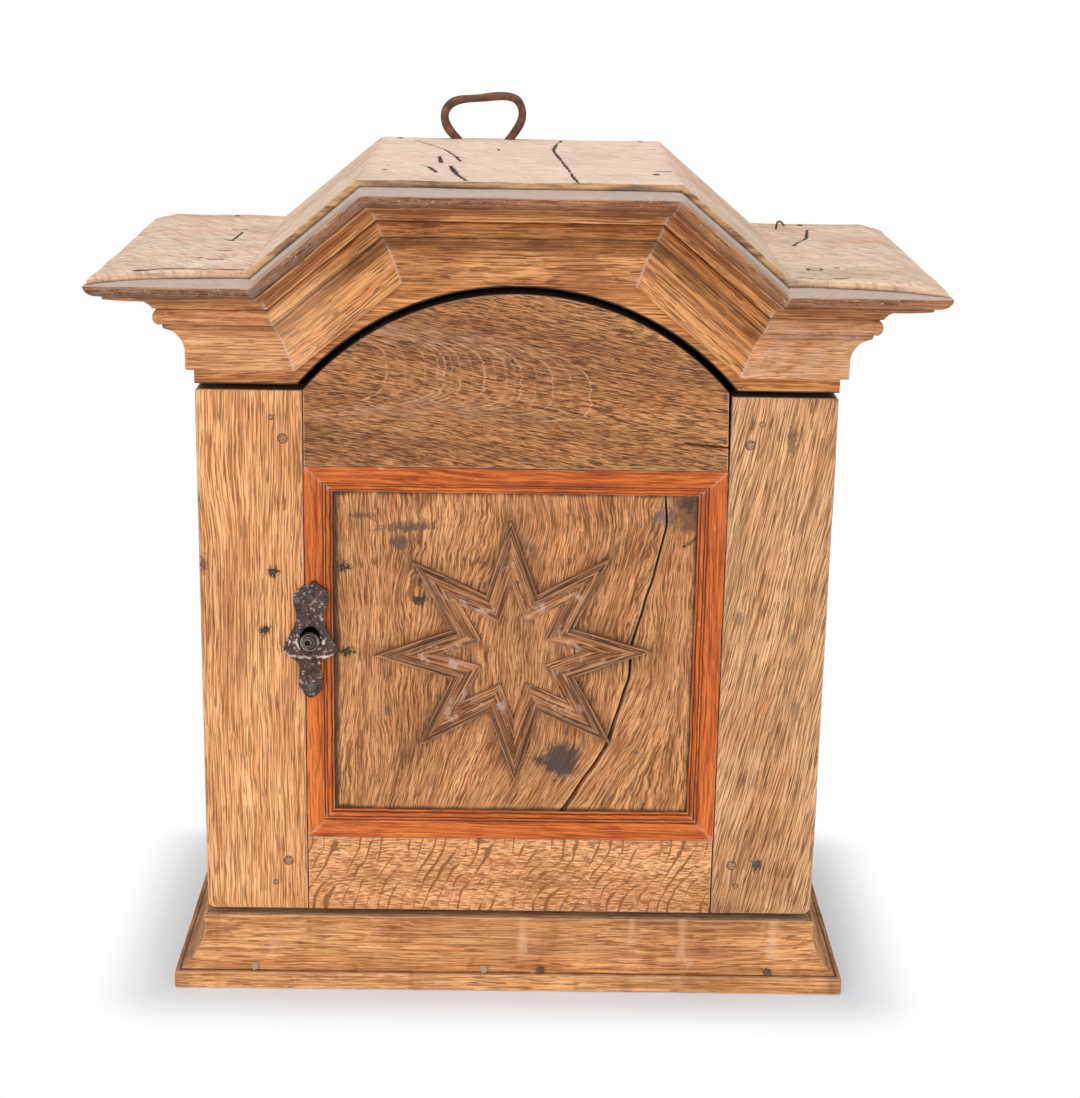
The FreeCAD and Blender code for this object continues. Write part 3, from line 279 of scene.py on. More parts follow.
def outward(points, faces):
    """The faces, turned as one if the signed volume of their triangle fans is negative."""
    fans = [np.column_stack([np.full(len(face) - 2, face[0]), face[1:-1], face[2:]])
            for face in faces if len(face) > 4]
    quads = np.array([face for face in faces if len(face) == 4])
    fans += [quads[:, [0, 1, 2]], quads[:, [0, 2, 3]]]
    a, b, c = points[np.concatenate(fans)].transpose(1, 0, 2)
    inside_out = np.einsum("ij,ij->", a, np.cross(b, c)) < 0
    return [face[::-1] for face in faces] if inside_out else faces


def loft(rings, grain, worn=0.0, shade_and_grime=0.0, ring_shaped=False):
    """A closed tube: each ring of points joined to the next, with the end rings filled, or the last joined
    to the first."""
    count, around = rings.shape[:2]
    index = np.arange(count * around).reshape(count, around)
    here = index if ring_shaped else index[:-1]
    after = np.roll(index, -1, 0) if ring_shaped else index[1:]
    quads = np.stack([here, np.roll(here, -1, 1), np.roll(after, -1, 1), after], -1).reshape(-1, 4)
    caps = [] if ring_shaped else [index[0][::-1].tolist(), index[-1].tolist()]
    points = rings.reshape(-1, 3)
    marks = np.column_stack([np.broadcast_to(mark, index.shape).ravel() for mark in (worn, shade_and_grime)])
    return points, outward(points, quads.tolist() + caps), grain.reshape(-1, 3), marks


def slab(front, back, grain, worn, shade_and_grime, back_shade_and_grime, side_worn=0.0):
    """A closed board: a grid of points for each face, and a rim between them with two more rings of points
    near the faces, on which the wear is a share of that at the faces' edge."""
    rows, columns = front.shape[:2]
    index = np.arange(rows * columns).reshape(rows, columns)
    face = np.stack([index[:-1, :-1], index[1:, :-1], index[1:, 1:], index[:-1, 1:]], -1).reshape(-1, 4)
    rim = np.concatenate([index[0, :-1], index[:-1, -1], index[-1, :0:-1], index[:0:-1, 0]])
    near, far = front.reshape(-1, 3), back.reshape(-1, 3)
    through = np.linalg.norm(far - near, axis=1)[:, None] * np.array([0, 0, 1])
    grain = grain.reshape(-1, 3)
    points, grains = [near, far], [grain, grain + through]
    marks = [np.column_stack([worn.ravel(), shade_and_dirt.ravel()]) for shade_and_dirt in (shade_and_grime, back_shade_and_grime)]
    rings = [rim]
    for share in (0.12, 0.88):
        rings.append(2 * index.size + (len(rings) - 1) * rim.size + np.arange(rim.size))
        points.append(near[rim] + (far - near)[rim] * share)
        grains.append(grain[rim] + through[rim] * share)
        mixed = marks[0][rim] * (1 - share) + marks[1][rim] * share
        marks.append(mixed * np.array([side_worn, 1]))
    rings.append(rim + index.size)
    sides = [np.column_stack([a, np.roll(a, -1), np.roll(b, -1), b]) for a, b in zip(rings[:-1], rings[1:])]
    points = np.concatenate(points)
    faces = np.concatenate([face, face[:, ::-1] + index.size, *sides]).tolist()
    return points, outward(points, faces), np.concatenate(grains), np.concatenate(marks)


def together(shapes):
    """Several closed shapes as one: their points in a row, and their faces counted on."""
    points, faces, grains, marks = zip(*shapes)
    starts = np.cumsum([0] + [len(group) for group in points[:-1]])
    counted = [[corner + start for corner in face] for group, start in zip(faces, starts) for face in group]
    return np.concatenate(points), counted, np.concatenate(grains), np.concatenate(marks)


made = []
GRAIN_SHIFT = 0.37


def piece(name, body, finish, slot, shape, *nodes, sharp=38):
    """Puts a shape in millimetres into a mesh that rides on a body and stands for the CAD nodes. Each piece
    starts further along the grain than the one before it."""
    points, faces, grain, marks = shape
    mesh = bpy.data.meshes.new(name)
    mesh.from_pydata((points * MM).tolist(), [], faces)
    along = (grain * MM + np.array([GRAIN_SHIFT, 0, 0]) * len(made)).astype(np.float32)
    mesh.attributes.new("grain", "FLOAT_VECTOR", "POINT").data.foreach_set("vector", along.ravel())
    for k, mark in enumerate(("worn", "shade_and_grime")):
        mesh.attributes.new(mark, "FLOAT", "POINT").data.foreach_set("value", marks[:, k].astype(np.float32))
    mesh.shade_smooth()
    mesh.set_sharp_from_angle(angle=radians(sharp))
    mesh.materials.append(finish.material)
    solid = bpy.data.objects.new(name, mesh)
    bpy.context.collection.objects.link(solid)
    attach(solid, body)
    if nodes:
        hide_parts(*nodes)
    made.append(solid)


def bow(start, end, bulge, count=9):
    """Points of an arc from start towards end, whose height over the chord, to the right, is bulge times
    the chord."""
    start, end = np.array(start, float), np.array(end, float)
    if not bulge:
        return start[None]
    chord = np.linalg.norm(end - start)
    way = (end - start) / chord
    side = np.array([way[1], -way[0]]) * np.sign(bulge)
    half = 2 * np.arctan(2 * abs(bulge))
    radius = chord / (2 * np.sin(half))
    angle = np.linspace(-half, half, count)[:-1, None]
    return (start + end) / 2 + way * radius * np.sin(angle) + side * radius * (np.cos(angle) - np.cos(half))


OUTER_BEND, INNER_BEND, WORN_FADE, INNER_SHADE_FADE = -0.9, -0.96, 1.6, 1.1


def moulded(corners, edge=0.7, step=2.5):
    """A moulding's closed outline from its corners (reach, height, bulge of the next side): arcs, worn
    corners and points no further apart than step. Returns the points, how worn each is by its distance from
    an outer corner, and how much painted shade it gets by its distance from an inner one."""
    ends = corners[1:] + corners[:1]
    loop = np.concatenate([bow(a[:2], b[:2], a[2]) for a, b in zip(corners, ends)])
    before, after = np.roll(loop, 1, 0) - loop, np.roll(loop, -1, 0) - loop
    long_before, long_after = (np.linalg.norm(way, axis=1)[:, None] for way in (before, after))
    cut = np.minimum(edge, 0.4 * np.minimum(long_before, long_after))
    cosine = (before * after).sum(1) / (long_before * long_after)[:, 0]
    turn = (after[:, 0] * before[:, 1] - after[:, 1] * before[:, 0]) / (long_before * long_after)[:, 0]
    first, last = loop + before / long_before * cut, loop + after / long_after * cut
    loop = np.stack([first, 0.25 * first + 0.5 * loop + 0.25 * last, last], 1).reshape(-1, 2)
    closed = np.vstack([loop, loop[:1]])
    run = np.concatenate([[0], np.cumsum(np.linalg.norm(np.diff(closed, axis=0), axis=1))])
    spots = np.unique(np.concatenate([run[:-1], np.arange(0, run[-1], step)]).round(3))
    points = np.column_stack([np.interp(spots, run, closed[:, k]) for k in (0, 1)])
    marks = []
    # Outer corners are worn; inner corners get painted shade
    for corner, fade in (((cosine > OUTER_BEND) & (turn > 0), WORN_FADE),
                         ((cosine > INNER_BEND) & (turn < 0), INNER_SHADE_FADE)):
        peaks = run[:-1].reshape(-1, 3)[corner, 1]
        away = np.abs(spots[:, None] - peaks)
        away = np.minimum(away, run[-1] - away).min(1, initial=1e3)
        marks.append(np.exp(-away / fade))
    return points, *marks


def lines(length, edge, step):
    """Places along a side: close together over the worn edge at both ends, evenly spread between."""
    rim = edge * np.array([0, 0.12, 0.4, 1.0])
    count = max(2, int(round((length - 2 * edge) / step)))
    return np.concatenate([rim, np.linspace(edge, length - edge, count + 1)[1:-1], length - rim[::-1]])


MITRE_EDGE, MITRE_FADE, MITRE_WORN, SEAM_FADE = 1.2, 0.5, 0.95, 0.45
DENT, DENT_LONG, EDGE_DENT, EDGE_DENT_LONG = 0.16, 60, 0.3, 19


def run_of(profile, start, end, seed, step=6.0, joint=0.5, dust=4.0, joint_dark=0.35, edge_wear=1.0):
    """A moulding run: the outline's points carried straight from their place at one mitre to their place at
    the other. It draws in by the joint's depth at each mitre, where wear fades over dust and a dark seam
    over less."""
    points, worn, shade_and_grime = profile
    length = np.linalg.norm(end - start, axis=1)
    share = lines(length.max(), MITRE_EDGE, step) / length.max()
    rings = start + (end - start) * share[:, None, None]
    off = np.minimum(share, 1 - share)[:, None] * length
    inwards = rings.mean(1, keepdims=True) - rings
    inwards /= np.linalg.norm(inwards, axis=2, keepdims=True) + 1e-6
    dents = DENT * (1 + wander(rings, DENT_LONG, seed))
    dents = dents + worn * EDGE_DENT * (1 + wander(rings, EDGE_DENT_LONG, seed + 1))
    rings = rings + inwards * (joint * np.exp(-off / MITRE_FADE) + dents)[..., None]
    grain = np.concatenate([np.broadcast_to((share[:, None] * length)[..., None], (*off.shape, 1)),
                            np.broadcast_to(points, (*off.shape, 2))], 2)
    worn = np.maximum(worn * edge_wear, MITRE_WORN * np.exp(-off / dust))
    return loft(rings, grain, worn, np.maximum(shade_and_grime, joint_dark * np.exp(-off / SEAM_FADE)))


CRACK_RAG, CRACK_WAVE, CRACK_SEED = 0.45, 9, 300


def carved(a, b, cracks):
    """Depth and darkness of cracks on a grid: a bell over the distance to each crack's line of points, made
    ragged."""
    deep, dark = np.zeros_like(a), np.zeros_like(a)
    rag = 1 + CRACK_RAG * wander(np.stack([a, b, np.zeros_like(a)], -1), CRACK_WAVE, CRACK_SEED)
    for wide, depth, path in cracks:
        path = np.array(path, float)
        away = np.full_like(a, 1e3)
        for (x0, y0), (x1, y1) in zip(path[:-1], path[1:]):
            long = np.hypot(x1 - x0, y1 - y0)
            t = np.clip(((a - x0) * (x1 - x0) + (b - y0) * (y1 - y0)) / long ** 2, 0, 1)
            away = np.minimum(away, np.hypot(a - x0 - t * (x1 - x0), b - y0 - t * (y1 - y0)))
        bell = np.exp(-(away / (wide * rag)) ** 2)
        deep, dark = np.maximum(deep, depth * bell), np.maximum(dark, bell)
    return deep, dark


FACE_UNEVEN, FACE_WAVE, EDGE_WEAR = 0.15, 70, 2.2


def board_of(length, width, near, far, edge, front_shape, back_shape, seed, step, cracks=(), shade_and_dirt=None):
    """A board: a grid of length by width laid out by the shape functions (share of length, share of width
    to x and z), whose faces fall away in a quarter round at the worn edges, with cracks let into the
    front."""
    u, v = np.meshgrid(lines(length, edge, step), lines(width, edge, step), indexing="ij")
    off_u, off_v = np.minimum(u, length - u), np.minimum(v, width - v)
    inside = np.minimum(off_u, off_v)
    fall_u, fall_v = np.maximum(edge - off_u, 0), np.maximum(edge - off_v, 0)
    fall = edge - np.sqrt(np.maximum(edge ** 2 - fall_u ** 2 - fall_v ** 2, 0))
    faces = []
    for shape, level, sign in ((front_shape, near, 1), (back_shape, far, -1)):
        x, z = shape(u / length, v / width)
        flat = np.stack([x, np.full_like(x, level), z], -1)
        uneven = FACE_UNEVEN * (1 + wander(flat, FACE_WAVE, seed)) * inside.clip(0, 1)
        flat[..., 1] += sign * (fall + uneven)
        faces.append(flat)
    x, z = faces[0][..., 0], faces[0][..., 2]
    deep, dark = carved(x, z, cracks)
    faces[0][..., 1] += deep
    # Painted shade from the given function, with grime round the star, on both faces
    shade_and_dirt_marks = shade_and_dirt(x, z) if shade_and_dirt else np.zeros_like(x)
    grain = np.stack([u, v, np.zeros_like(u)], -1)
    return slab(*faces, grain, np.exp(-inside / EDGE_WEAR), np.maximum(dark, shade_and_dirt_marks), shade_and_dirt_marks)


def turned(profile, centre, axis, around=28, seed=0, uneven=0.0, oval=(1.0, 1.0)):
    """A turned shape: a profile of (radius, height) carried round an axis, with its two ends filled."""
    profile = np.array(profile, float)
    angle = np.linspace(0, 2 * pi, around, endpoint=False)
    axis = np.array(axis, float)
    side = np.cross(axis, [0, 0, 1.0]) if abs(axis[2]) < 0.9 else np.array([1.0, 0, 0])
    side /= np.linalg.norm(side)
    other = np.cross(axis, side)
    spoke = np.cos(angle)[:, None] * side * oval[0] + np.sin(angle)[:, None] * other * oval[1]
    wave = 1 + uneven * wander(spoke * 10 + seed, 14, seed)
    rings = np.array(centre) + profile[:, :1, None] * spoke * wave[:, None] + profile[:, 1:, None] * axis
    grain = np.stack(np.broadcast_arrays(profile[:, 1:], profile[:, :1] * np.cos(angle),
                                         profile[:, :1] * np.sin(angle)), -1)
    return loft(rings, grain)


def bar_along(path, radius, seed, around=18, uneven=0.35):
    """A hammered bar: a ring of points square to the path, a little uneven in radius, carried along it."""
    way = np.gradient(path, axis=0)
    way /= np.linalg.norm(way, axis=1, keepdims=True)
    side = np.cross(way, [0, 1.0, 0])
    side /= np.linalg.norm(side, axis=1, keepdims=True)
    over = np.cross(side, way)
    angle = np.linspace(0, 2 * pi, around, endpoint=False)[:, None]
    spoke = np.cos(angle) * side[:, None] + np.sin(angle) * over[:, None]
    rings = path[:, None] + spoke * radius
    rings = rings + spoke * (uneven * wander(rings, 13, seed) - uneven * 0.5)[..., None]
    return loft(rings, np.broadcast_to(path[:, None], rings.shape))


def smooth_path(corners, count=140):
    """A cubic B-spline through the pull of its corner points, with the end points repeated."""
    corners = np.array(corners, float)
    corners = np.vstack([corners[:1], corners[:1], corners, corners[-1:], corners[-1:]])
    t = np.linspace(0, len(corners) - 3 - 1e-6, count)
    k = t.astype(int)
    t = (t - k)[:, None]
    weights = ((1 - t) ** 3, 3 * t ** 3 - 6 * t ** 2 + 4, -3 * t ** 3 + 3 * t ** 2 + 3 * t + 1, t ** 3)
    return sum(weight / 6 * corners[k + j] for j, weight in enumerate(weights))


def flipped(points):
    """The points mirrored from left to right."""
    return points * np.array([-1, 1, 1])


def eased(value):
    """Zero below 0, one above 1, and a smooth step between."""
    t = np.clip(value, 0, 1)
    return t * t * (3 - 2 * t)


# Woods, with their pale, middle and dark tone, and irons, with their skin, flakes and rust

left_stile_oak = oak("left stile oak", (1.0, 0.57, 0.265), (0.87, 0.41, 0.165), (0.34, 0.117, 0.032),
                     rings=(16, 820), depth=0.8)
right_stile_oak = oak("right stile oak", (0.88, 0.50, 0.26), (0.69, 0.35, 0.156), (0.22, 0.094, 0.038),
                      lean=radians(-11), sway=0.009, rings=(24, 980), depth=0.85, broad=0.12, stain=0.5)
arch_rail_oak = oak("arched rail oak", (0.64, 0.305, 0.122), (0.45, 0.19, 0.066), (0.11, 0.036, 0.011),
                    axes="XZY", lean=radians(9), ripple=0.0007, rings=(68, 1020), depth=0.85, broad=0.12,
                    pores=(95, 980))
bottom_rail_oak = oak("bottom rail oak", (1.0, 0.56, 0.27), (0.83, 0.385, 0.158), (0.38, 0.14, 0.043),
                      axes="XZY", rings=(110, 820), depth=0.8, pores=(120, 860), stain=0.45)
panel_oak = oak("panel oak", (0.84, 0.42, 0.175), (0.63, 0.275, 0.106), (0.18, 0.064, 0.02), sway=0.03,
                ripple=0.0018, rings=(38, 860), depth=0.8, broad=0.15, pores=(70, 960), stain=0.5)
star_oak = oak("star oak", (0.60, 0.275, 0.115), (0.42, 0.174, 0.068), (0.13, 0.045, 0.015), rings=(16, 700),
               depth=1.0, pores=(40, 640), wear=0.35, worn=(0.56, 0.33, 0.20), shade_and_grime=0.6)
red_stain = oak("red stained oak", (0.79, 0.215, 0.041), (0.68, 0.16, 0.025), (0.26, 0.042, 0.009),
                depth=0.55, dash=0.6, hue=0.4, wear=0.45, worn=(0.74, 0.40, 0.25))
cove_oak = oak("cove oak", (0.80, 0.38, 0.138), (0.58, 0.24, 0.08), (0.21, 0.073, 0.021), rings=(13, 760),
               depth=0.65, stain=0.7, worn=(0.56, 0.41, 0.33), dusty=0.14)
# Lighter than the cove oak to stand for the light on the wings and returns: painted light
lit_wing_cove_oak = oak("lit wing cove oak", (0.92, 0.505, 0.25), (0.76, 0.36, 0.155), (0.36, 0.138, 0.05),
                    rings=(13, 760), depth=0.6, stain=0.5, worn=(0.62, 0.45, 0.34), dusty=0.12)
crown_oak = oak("crown oak", (0.75, 0.355, 0.135), (0.54, 0.225, 0.08), (0.19, 0.066, 0.022), rings=(13, 760),
                depth=0.65, stain=0.7, worn=(0.56, 0.42, 0.34), dusty=0.14)
plinth_oak = oak("plinth oak", (0.98, 0.53, 0.232), (0.79, 0.37, 0.142), (0.38, 0.15, 0.05), rings=(14, 760),
                 stain=0.6)
roof_wood = oak("roof board", (0.94, 0.73, 0.57), (0.87, 0.65, 0.495), (0.66, 0.45, 0.32), axes="XYZ",
                plain=True, rings=(40, 420), depth=0.45, pores=(140, 600), dash=0.3, hue=0.5, stain=0.1)
peg_wood = oak("peg wood", (0.62, 0.35, 0.18), (0.42, 0.22, 0.105), (0.22, 0.10, 0.045))
side_oak = oak("case side oak", (0.72, 0.41, 0.22), (0.50, 0.26, 0.125), (0.28, 0.12, 0.05), axes="ZYX",
               plain=True, stain=0.55)
frieze_oak = oak("frieze oak", (0.80, 0.37, 0.125), (0.56, 0.225, 0.066), (0.24, 0.08, 0.02), axes="XZY",
                 plain=True)
shelf_wood = oak("shelf wood", (0.62, 0.42, 0.26), (0.44, 0.27, 0.155), (0.27, 0.14, 0.07), axes="XYZ",
                 plain=True)
back_wood = oak("back board wood", (0.60, 0.41, 0.26), (0.42, 0.26, 0.15), (0.25, 0.13, 0.065), axes="ZXY",
                plain=True, stain=0.6)
middle_back_wood = oak("middle back board wood", (0.64, 0.42, 0.25), (0.47, 0.28, 0.15), (0.26, 0.13, 0.06),
                       axes="ZXY", plain=True, sway=0.02, stain=0.6)
plate_iron = iron("keyhole plate iron", (0.08, 0.045, 0.035), (0.66, 0.54, 0.46), (0.12, 0.05, 0.03),
                  speckle=0.65)
drum_iron = iron("key drum iron", (0.13, 0.105, 0.09), (0.36, 0.32, 0.29), (0.10, 0.06, 0.045), speckle=0.3)
forged_iron = iron("forged iron", (0.10, 0.085, 0.078), (0.28, 0.25, 0.23), (0.18, 0.08, 0.04), speckle=0.35)
rusty_iron = iron("rusty iron", (0.15, 0.066, 0.042), (0.42, 0.22, 0.15), (0.30, 0.10, 0.04), rust_share=0.5,
                  speckle=0.3, rough=0.65, metal=0.2)

# Marks of use on the door, at x and z

PEGS = [(side * 168, z, 1.0) for side in (-1, 1) for z in (96, 424.5)]
PEGS += [(-176, 440, 0.58), (176, 440, 0.58), (-178, 78, 0.58), (172, 79, 0.58)]
STILE_POINTS, PANEL_POINTS = [(-176.4, 324.4), (-182.9, 279.7)], [(-126.3, 325.8), (-123.1, 260.9)]
PEG_SHADOW, NAIL_STAIN, SOOT = (0.07, 0.036, 0.02), (0.022, 0.016, 0.013), (0.05, 0.04, 0.036)
BROWN_STAIN, KNOT = (0.27, 0.14, 0.07), (0.13, 0.055, 0.035)
STREAK, SCRATCH = (0.10, 0.06, 0.04), (0.12, 0.07, 0.05)


def mark_stiles(left, right):
    """Painted shadow rims round the pegs, stains of the lock's nails, and brown and sooty stains on the
    right.
    """
    for x, z, size in PEGS:
        stile = left if x < 0 else right
        stile.spot(x, z, 3.7 * size, PEG_SHADOW, ragged=0.1, core=0.9)
    for x, z in STILE_POINTS:
        left.spot(x, z, 4.6, NAIL_STAIN, 0.95, wide=1.2, ragged=0.75)
    left.spot(-227, 330, 3.5, NAIL_STAIN, 0.7, high=2.5)
    for x, z, radius, high in ((166, 293, 5.5, 1.3), (206, 278, 4.0, 1.5), (211, 222, 4.2, 2.6)):
        right.spot(x, z, radius, BROWN_STAIN, 0.7, high=high, turn=radians(8))
    right.spot(187, 96.8, 5.2, SOOT, 0.9, high=1.2)
    right.spot(198, 428, 4, (0.12, 0.07, 0.04), 0.7, high=3.5)


def mark_panel(f):
    """Nail stains, soot, a knot with a grey patch, streaks and scratches, and a painted shadow along the
    panel's edges under the red frame that is wider on the left."""
    for x, z in PANEL_POINTS + [(-70.4, 301.6)]:
        f.spot(x, z, 4.8, NAIL_STAIN, 0.92, wide=1.35, ragged=0.8)
    f.spot(36.2, 176.7, 15.5, SOOT, 0.9, ragged=0.3, high=1.05, core=0.6)
    f.spot(20.5, 175.8, 5.0, SOOT, 0.85, ragged=0.4)
    f.spot(125, 374, 16, KNOT, 0.85, ragged=0.45, high=1.25)
    f.spot(127, 377, 6.5, (0.06, 0.028, 0.02), 0.85)
    f.spot(107, 367.5, 8, (0.11, 0.10, 0.095), 0.75, ragged=0.8)
    f.spot(-77, 357.5, 6.5, STREAK, 0.85, wide=4.2, high=0.7, turn=radians(6))
    f.spot(-112, 365.5, 4.5, STREAK, 0.75, wide=3.0, high=0.7)
    f.spot(-85.1, 345.5, 6.6, (0.12, 0.055, 0.035), 0.9, wide=1.3, ragged=0.4)
    f.spot(12.8, 341.2, 3.6, SCRATCH, 0.75, high=1.8)
    f.spot(-93.5, 214, 3.2, SCRATCH, 0.7, high=1.7)
    f.spot(93.5, 183.5, 2.6, (0.10, 0.07, 0.06), 0.7)
    f.spot(40.5, 198.9, 2.8, (0.13, 0.08, 0.05), 0.6)
    # Painted shadow along the panel's edges under the red frame, wider on the left
    beyond = f.math("MAXIMUM", f.plus(-SEEN_SIDE * MM, f.math("ABSOLUTE", f.x)),
                    f.plus(-SEEN_HIGH * MM, f.off(f.z, PANEL_MIDDLE * MM)))
    beyond = f.plus(beyond, f.cloud(12), 5 * MM)
    beyond = f.plus(beyond, f.between(f.x, -130 * MM, -115 * MM, 2.2 * MM, 0.0))
    on_face = f.between(f.y, -74 * MM, -72 * MM, 1.0, 0.0)
    f.paint(f.times(f.between(beyond, -1 * MM, 3 * MM, 0.0, 0.9), on_face), (0.05, 0.026, 0.014))


SWIRL_TIPS, FAINT_TIPS = (-93.5, -57, -52, -41, -24, -8, 2.5, 25, 52), (-80, -66, -47, -33, -16, -2, 13, 38)
SWIRL_START, SWIRL_AXIS, SWIRL_COLOUR = -93.5, 475.5, (0.62, 0.37, 0.22)
AXIS_SINK, LIMB_BEND, LIMB_SLANT, LIMB_JAG, ARC_HALF = 0.8, 7.8e4, 1.9e5, 8 * MM, 0.9 * MM


def pale_swirl(f, tips, share):
    """Pale nested arcs that open to the left: a jagged thin line through each tip, bent back by the fourth
    power of the height over an axis that sinks to the right, and as wide on its limbs as at its tip."""
    off = f.plus(-SWIRL_START * MM, f.x)
    high = f.math("ABSOLUTE", f.plus(f.plus(-SWIRL_AXIS * MM, f.z), f.times(off, off), AXIS_SINK))
    place = f.plus(f.x, f.math("POWER", high, 4.0), LIMB_BEND)
    place = f.plus(place, f.swing(f.place, (45, 1, 330), 3.0, 0.65), LIMB_JAG)
    slant = f.plus(1.0, f.math("POWER", high, 3.0), LIMB_SLANT)
    held = f.between(f.noise(f.place, (70, 1, 130), 2.0), 0.4, 0.56, 0.3, 1.0)
    held = f.times(held, f.between(high, 20 * MM, 40 * MM, 1.0, 0.0))
    for tip in tips:
        away = f.math("ABSOLUTE", f.math("DIVIDE", f.plus(-tip * MM, place), slant))
        f.paint(f.times(f.between(away, ARC_HALF * 0.35, ARC_HALF, share, 0.0), held), SWIRL_COLOUR)


RAIL_MIDDLE, STROKES, STROKE_LEAN, BEND_WAVE, BEND_DEEP = 86, 112.0, -0.42, 95.0, -3.5 * MM


def ray_strokes(f):
    """Curved dark strokes across the grain: thin lines a step apart along it, sheared and bent into an S,
    broken up by a slower noise."""
    up = f.plus(-RAIL_MIDDLE * MM, f.z)
    lean = f.plus(f.x, up, STROKE_LEAN)
    lean = f.plus(lean, f.math("SINE", f.times(up, BEND_WAVE)), BEND_DEEP)
    lean = f.plus(lean, f.swing(f.place, (30, 30, 13)), 26 * MM)
    lean = f.plus(lean, f.plus(-0.5, f.cloud(9, 2.0)), 4 * MM)
    stroke = f.math("PINGPONG", f.times(lean, STROKES), 0.5)
    wide = f.plus(-0.285, f.noise(f.place, (60, 60, 26), 2.0), 0.7)
    f.paint(f.between(f.math("SUBTRACT", wide, stroke), -0.04, 0.06, 0.0, 0.92), (0.27, 0.098, 0.03))


# Marks on the mouldings and boards

REACH, RISE = 1, 2


def dark_bands(f, *bands):
    """Bands of painted shade under the moulding's overhangs, in patches, each from one height over the
    moulding's line to another.
    """
    rise, patch = f.part(RISE), f.between(f.cloud(34, 4.0, 0.6), 0.36, 0.6, 0.25, 1.0)
    for low, high, colour, share in bands:
        f.tint(f.times(f.strip(rise, low, high, 0.9), share, patch), colour)


def mark_crown(f):
    """A grey nosing, darker on the left, with brown patches, a dusty slope above it that is rubbed along
    the rakes, and pale flecks where the two meet."""
    rise = f.part(RISE)
    nosing = f.times(f.strip(rise, 60.5, 68.5, 0.8), f.between(f.x, -200 * MM, 100 * MM, 1.0, 0.5))
    f.tint(nosing, (0.46, 0.46, 0.56))
    f.paint(f.times(nosing, f.between(f.cloud(7, 4.0, 0.65), 0.4, 0.65, 0.0, 0.45)), (0.34, 0.22, 0.17))
    dust = f.between(f.cloud(6, 4.0, 0.65), 0.3, 0.7, 0.72, 0.97)
    f.paint(f.times(f.strip(rise, 69.1, 80, 0.4), dust), (0.55, 0.455, 0.40))
    rakes = f.strip(f.math("ABSOLUTE", f.x), 112, 180, 4)
    f.paint(f.times(f.strip(rise, 69.1, 70.6, 0.3), rakes, 0.75), (0.36, 0.24, 0.17))
    flecks = f.between(f.cloud(2.2, 3.0, 0.7), 0.6, 0.68, 0.0, 0.6)
    f.paint(f.times(f.strip(rise, 64, 69, 1.0), flecks), (0.62, 0.50, 0.44))


def mark_coves(cove, wing):
    """The left rake is paler, and the right wing has dust in patches."""
    cove.paint(cove.between(cove.x, -160 * MM, -110 * MM, 0.24, 0.0), (0.95, 0.56, 0.29))
    right = wing.between(wing.x, 120 * MM, 170 * MM, 0.0, 0.28)
    wing.paint(wing.times(right, wing.between(wing.cloud(16, 5.0, 0.7), 0.36, 0.66)), (0.60, 0.43, 0.32))


def mark_red(f):
    """Pale chips in the red stain."""
    f.paint(f.between(f.noise(f.grain, (90, 420), 3.0, 0.65), 0.66, 0.74, 0.0, 0.55), (0.78, 0.46, 0.30))


def mark_star(f):
    """Pale residue in patches on the inner part of the strips."""
    residue = f.between(f.cloud(13, 4.0, 0.68), 0.53, 0.66, 0.0, 0.6)
    f.paint(f.times(f.strip(f.part(REACH), 6, 15, 3.0), residue), (0.60, 0.42, 0.33))


def mark_plinth(f):
    """Upright wiped and grimy streaks, and grey corners."""
    wiped = f.noise(f.place, (42, 42, 5), 3.0, 0.6)
    f.paint(f.between(wiped, 0.58, 0.74, 0.0, 0.5), (0.80, 0.50, 0.28))
    f.tint(f.between(wiped, 0.3, 0.44, 0.5, 0.0), (0.6, 0.5, 0.42))
    f.tint(f.between(f.math("ABSOLUTE", f.x), 236 * MM, 246 * MM, 0.0, 0.8), (0.66, 0.64, 0.70))


def mark_frieze(f):
    """Painted black shade on the arched cut and on the low edge, which face the door across its gap."""
    spoke = f.step("CombineXYZ", {0: f.x, 1: f.plus(-ARCH_CENTRE * MM, f.z)}).outputs[0]
    # Painted shade in the gap over the door
    f.paint(f.between(f.vector("LENGTH", spoke), 206.2 * MM, 207.2 * MM, 0.97, 0.0), (0.01, 0.006, 0.004))
    f.paint(f.between(f.z, 464.5 * MM, 465.5 * MM, 0.9, 0.0), (0.02, 0.011, 0.007))


def mark_back(f):
    """Dark joints of the back boards, which lap: the inner joint is further out than the outer one."""
    joint = f.between(f.y, 138 * MM, 146 * MM, 83 * MM, 75 * MM)
    away = f.plus(f.off(f.math("ABSOLUTE", f.x), joint), f.cloud(9), 1.2 * MM)
    f.paint(f.between(away, 0.8 * MM, 2 * MM, 0.9, 0.0), (0.04, 0.022, 0.012))


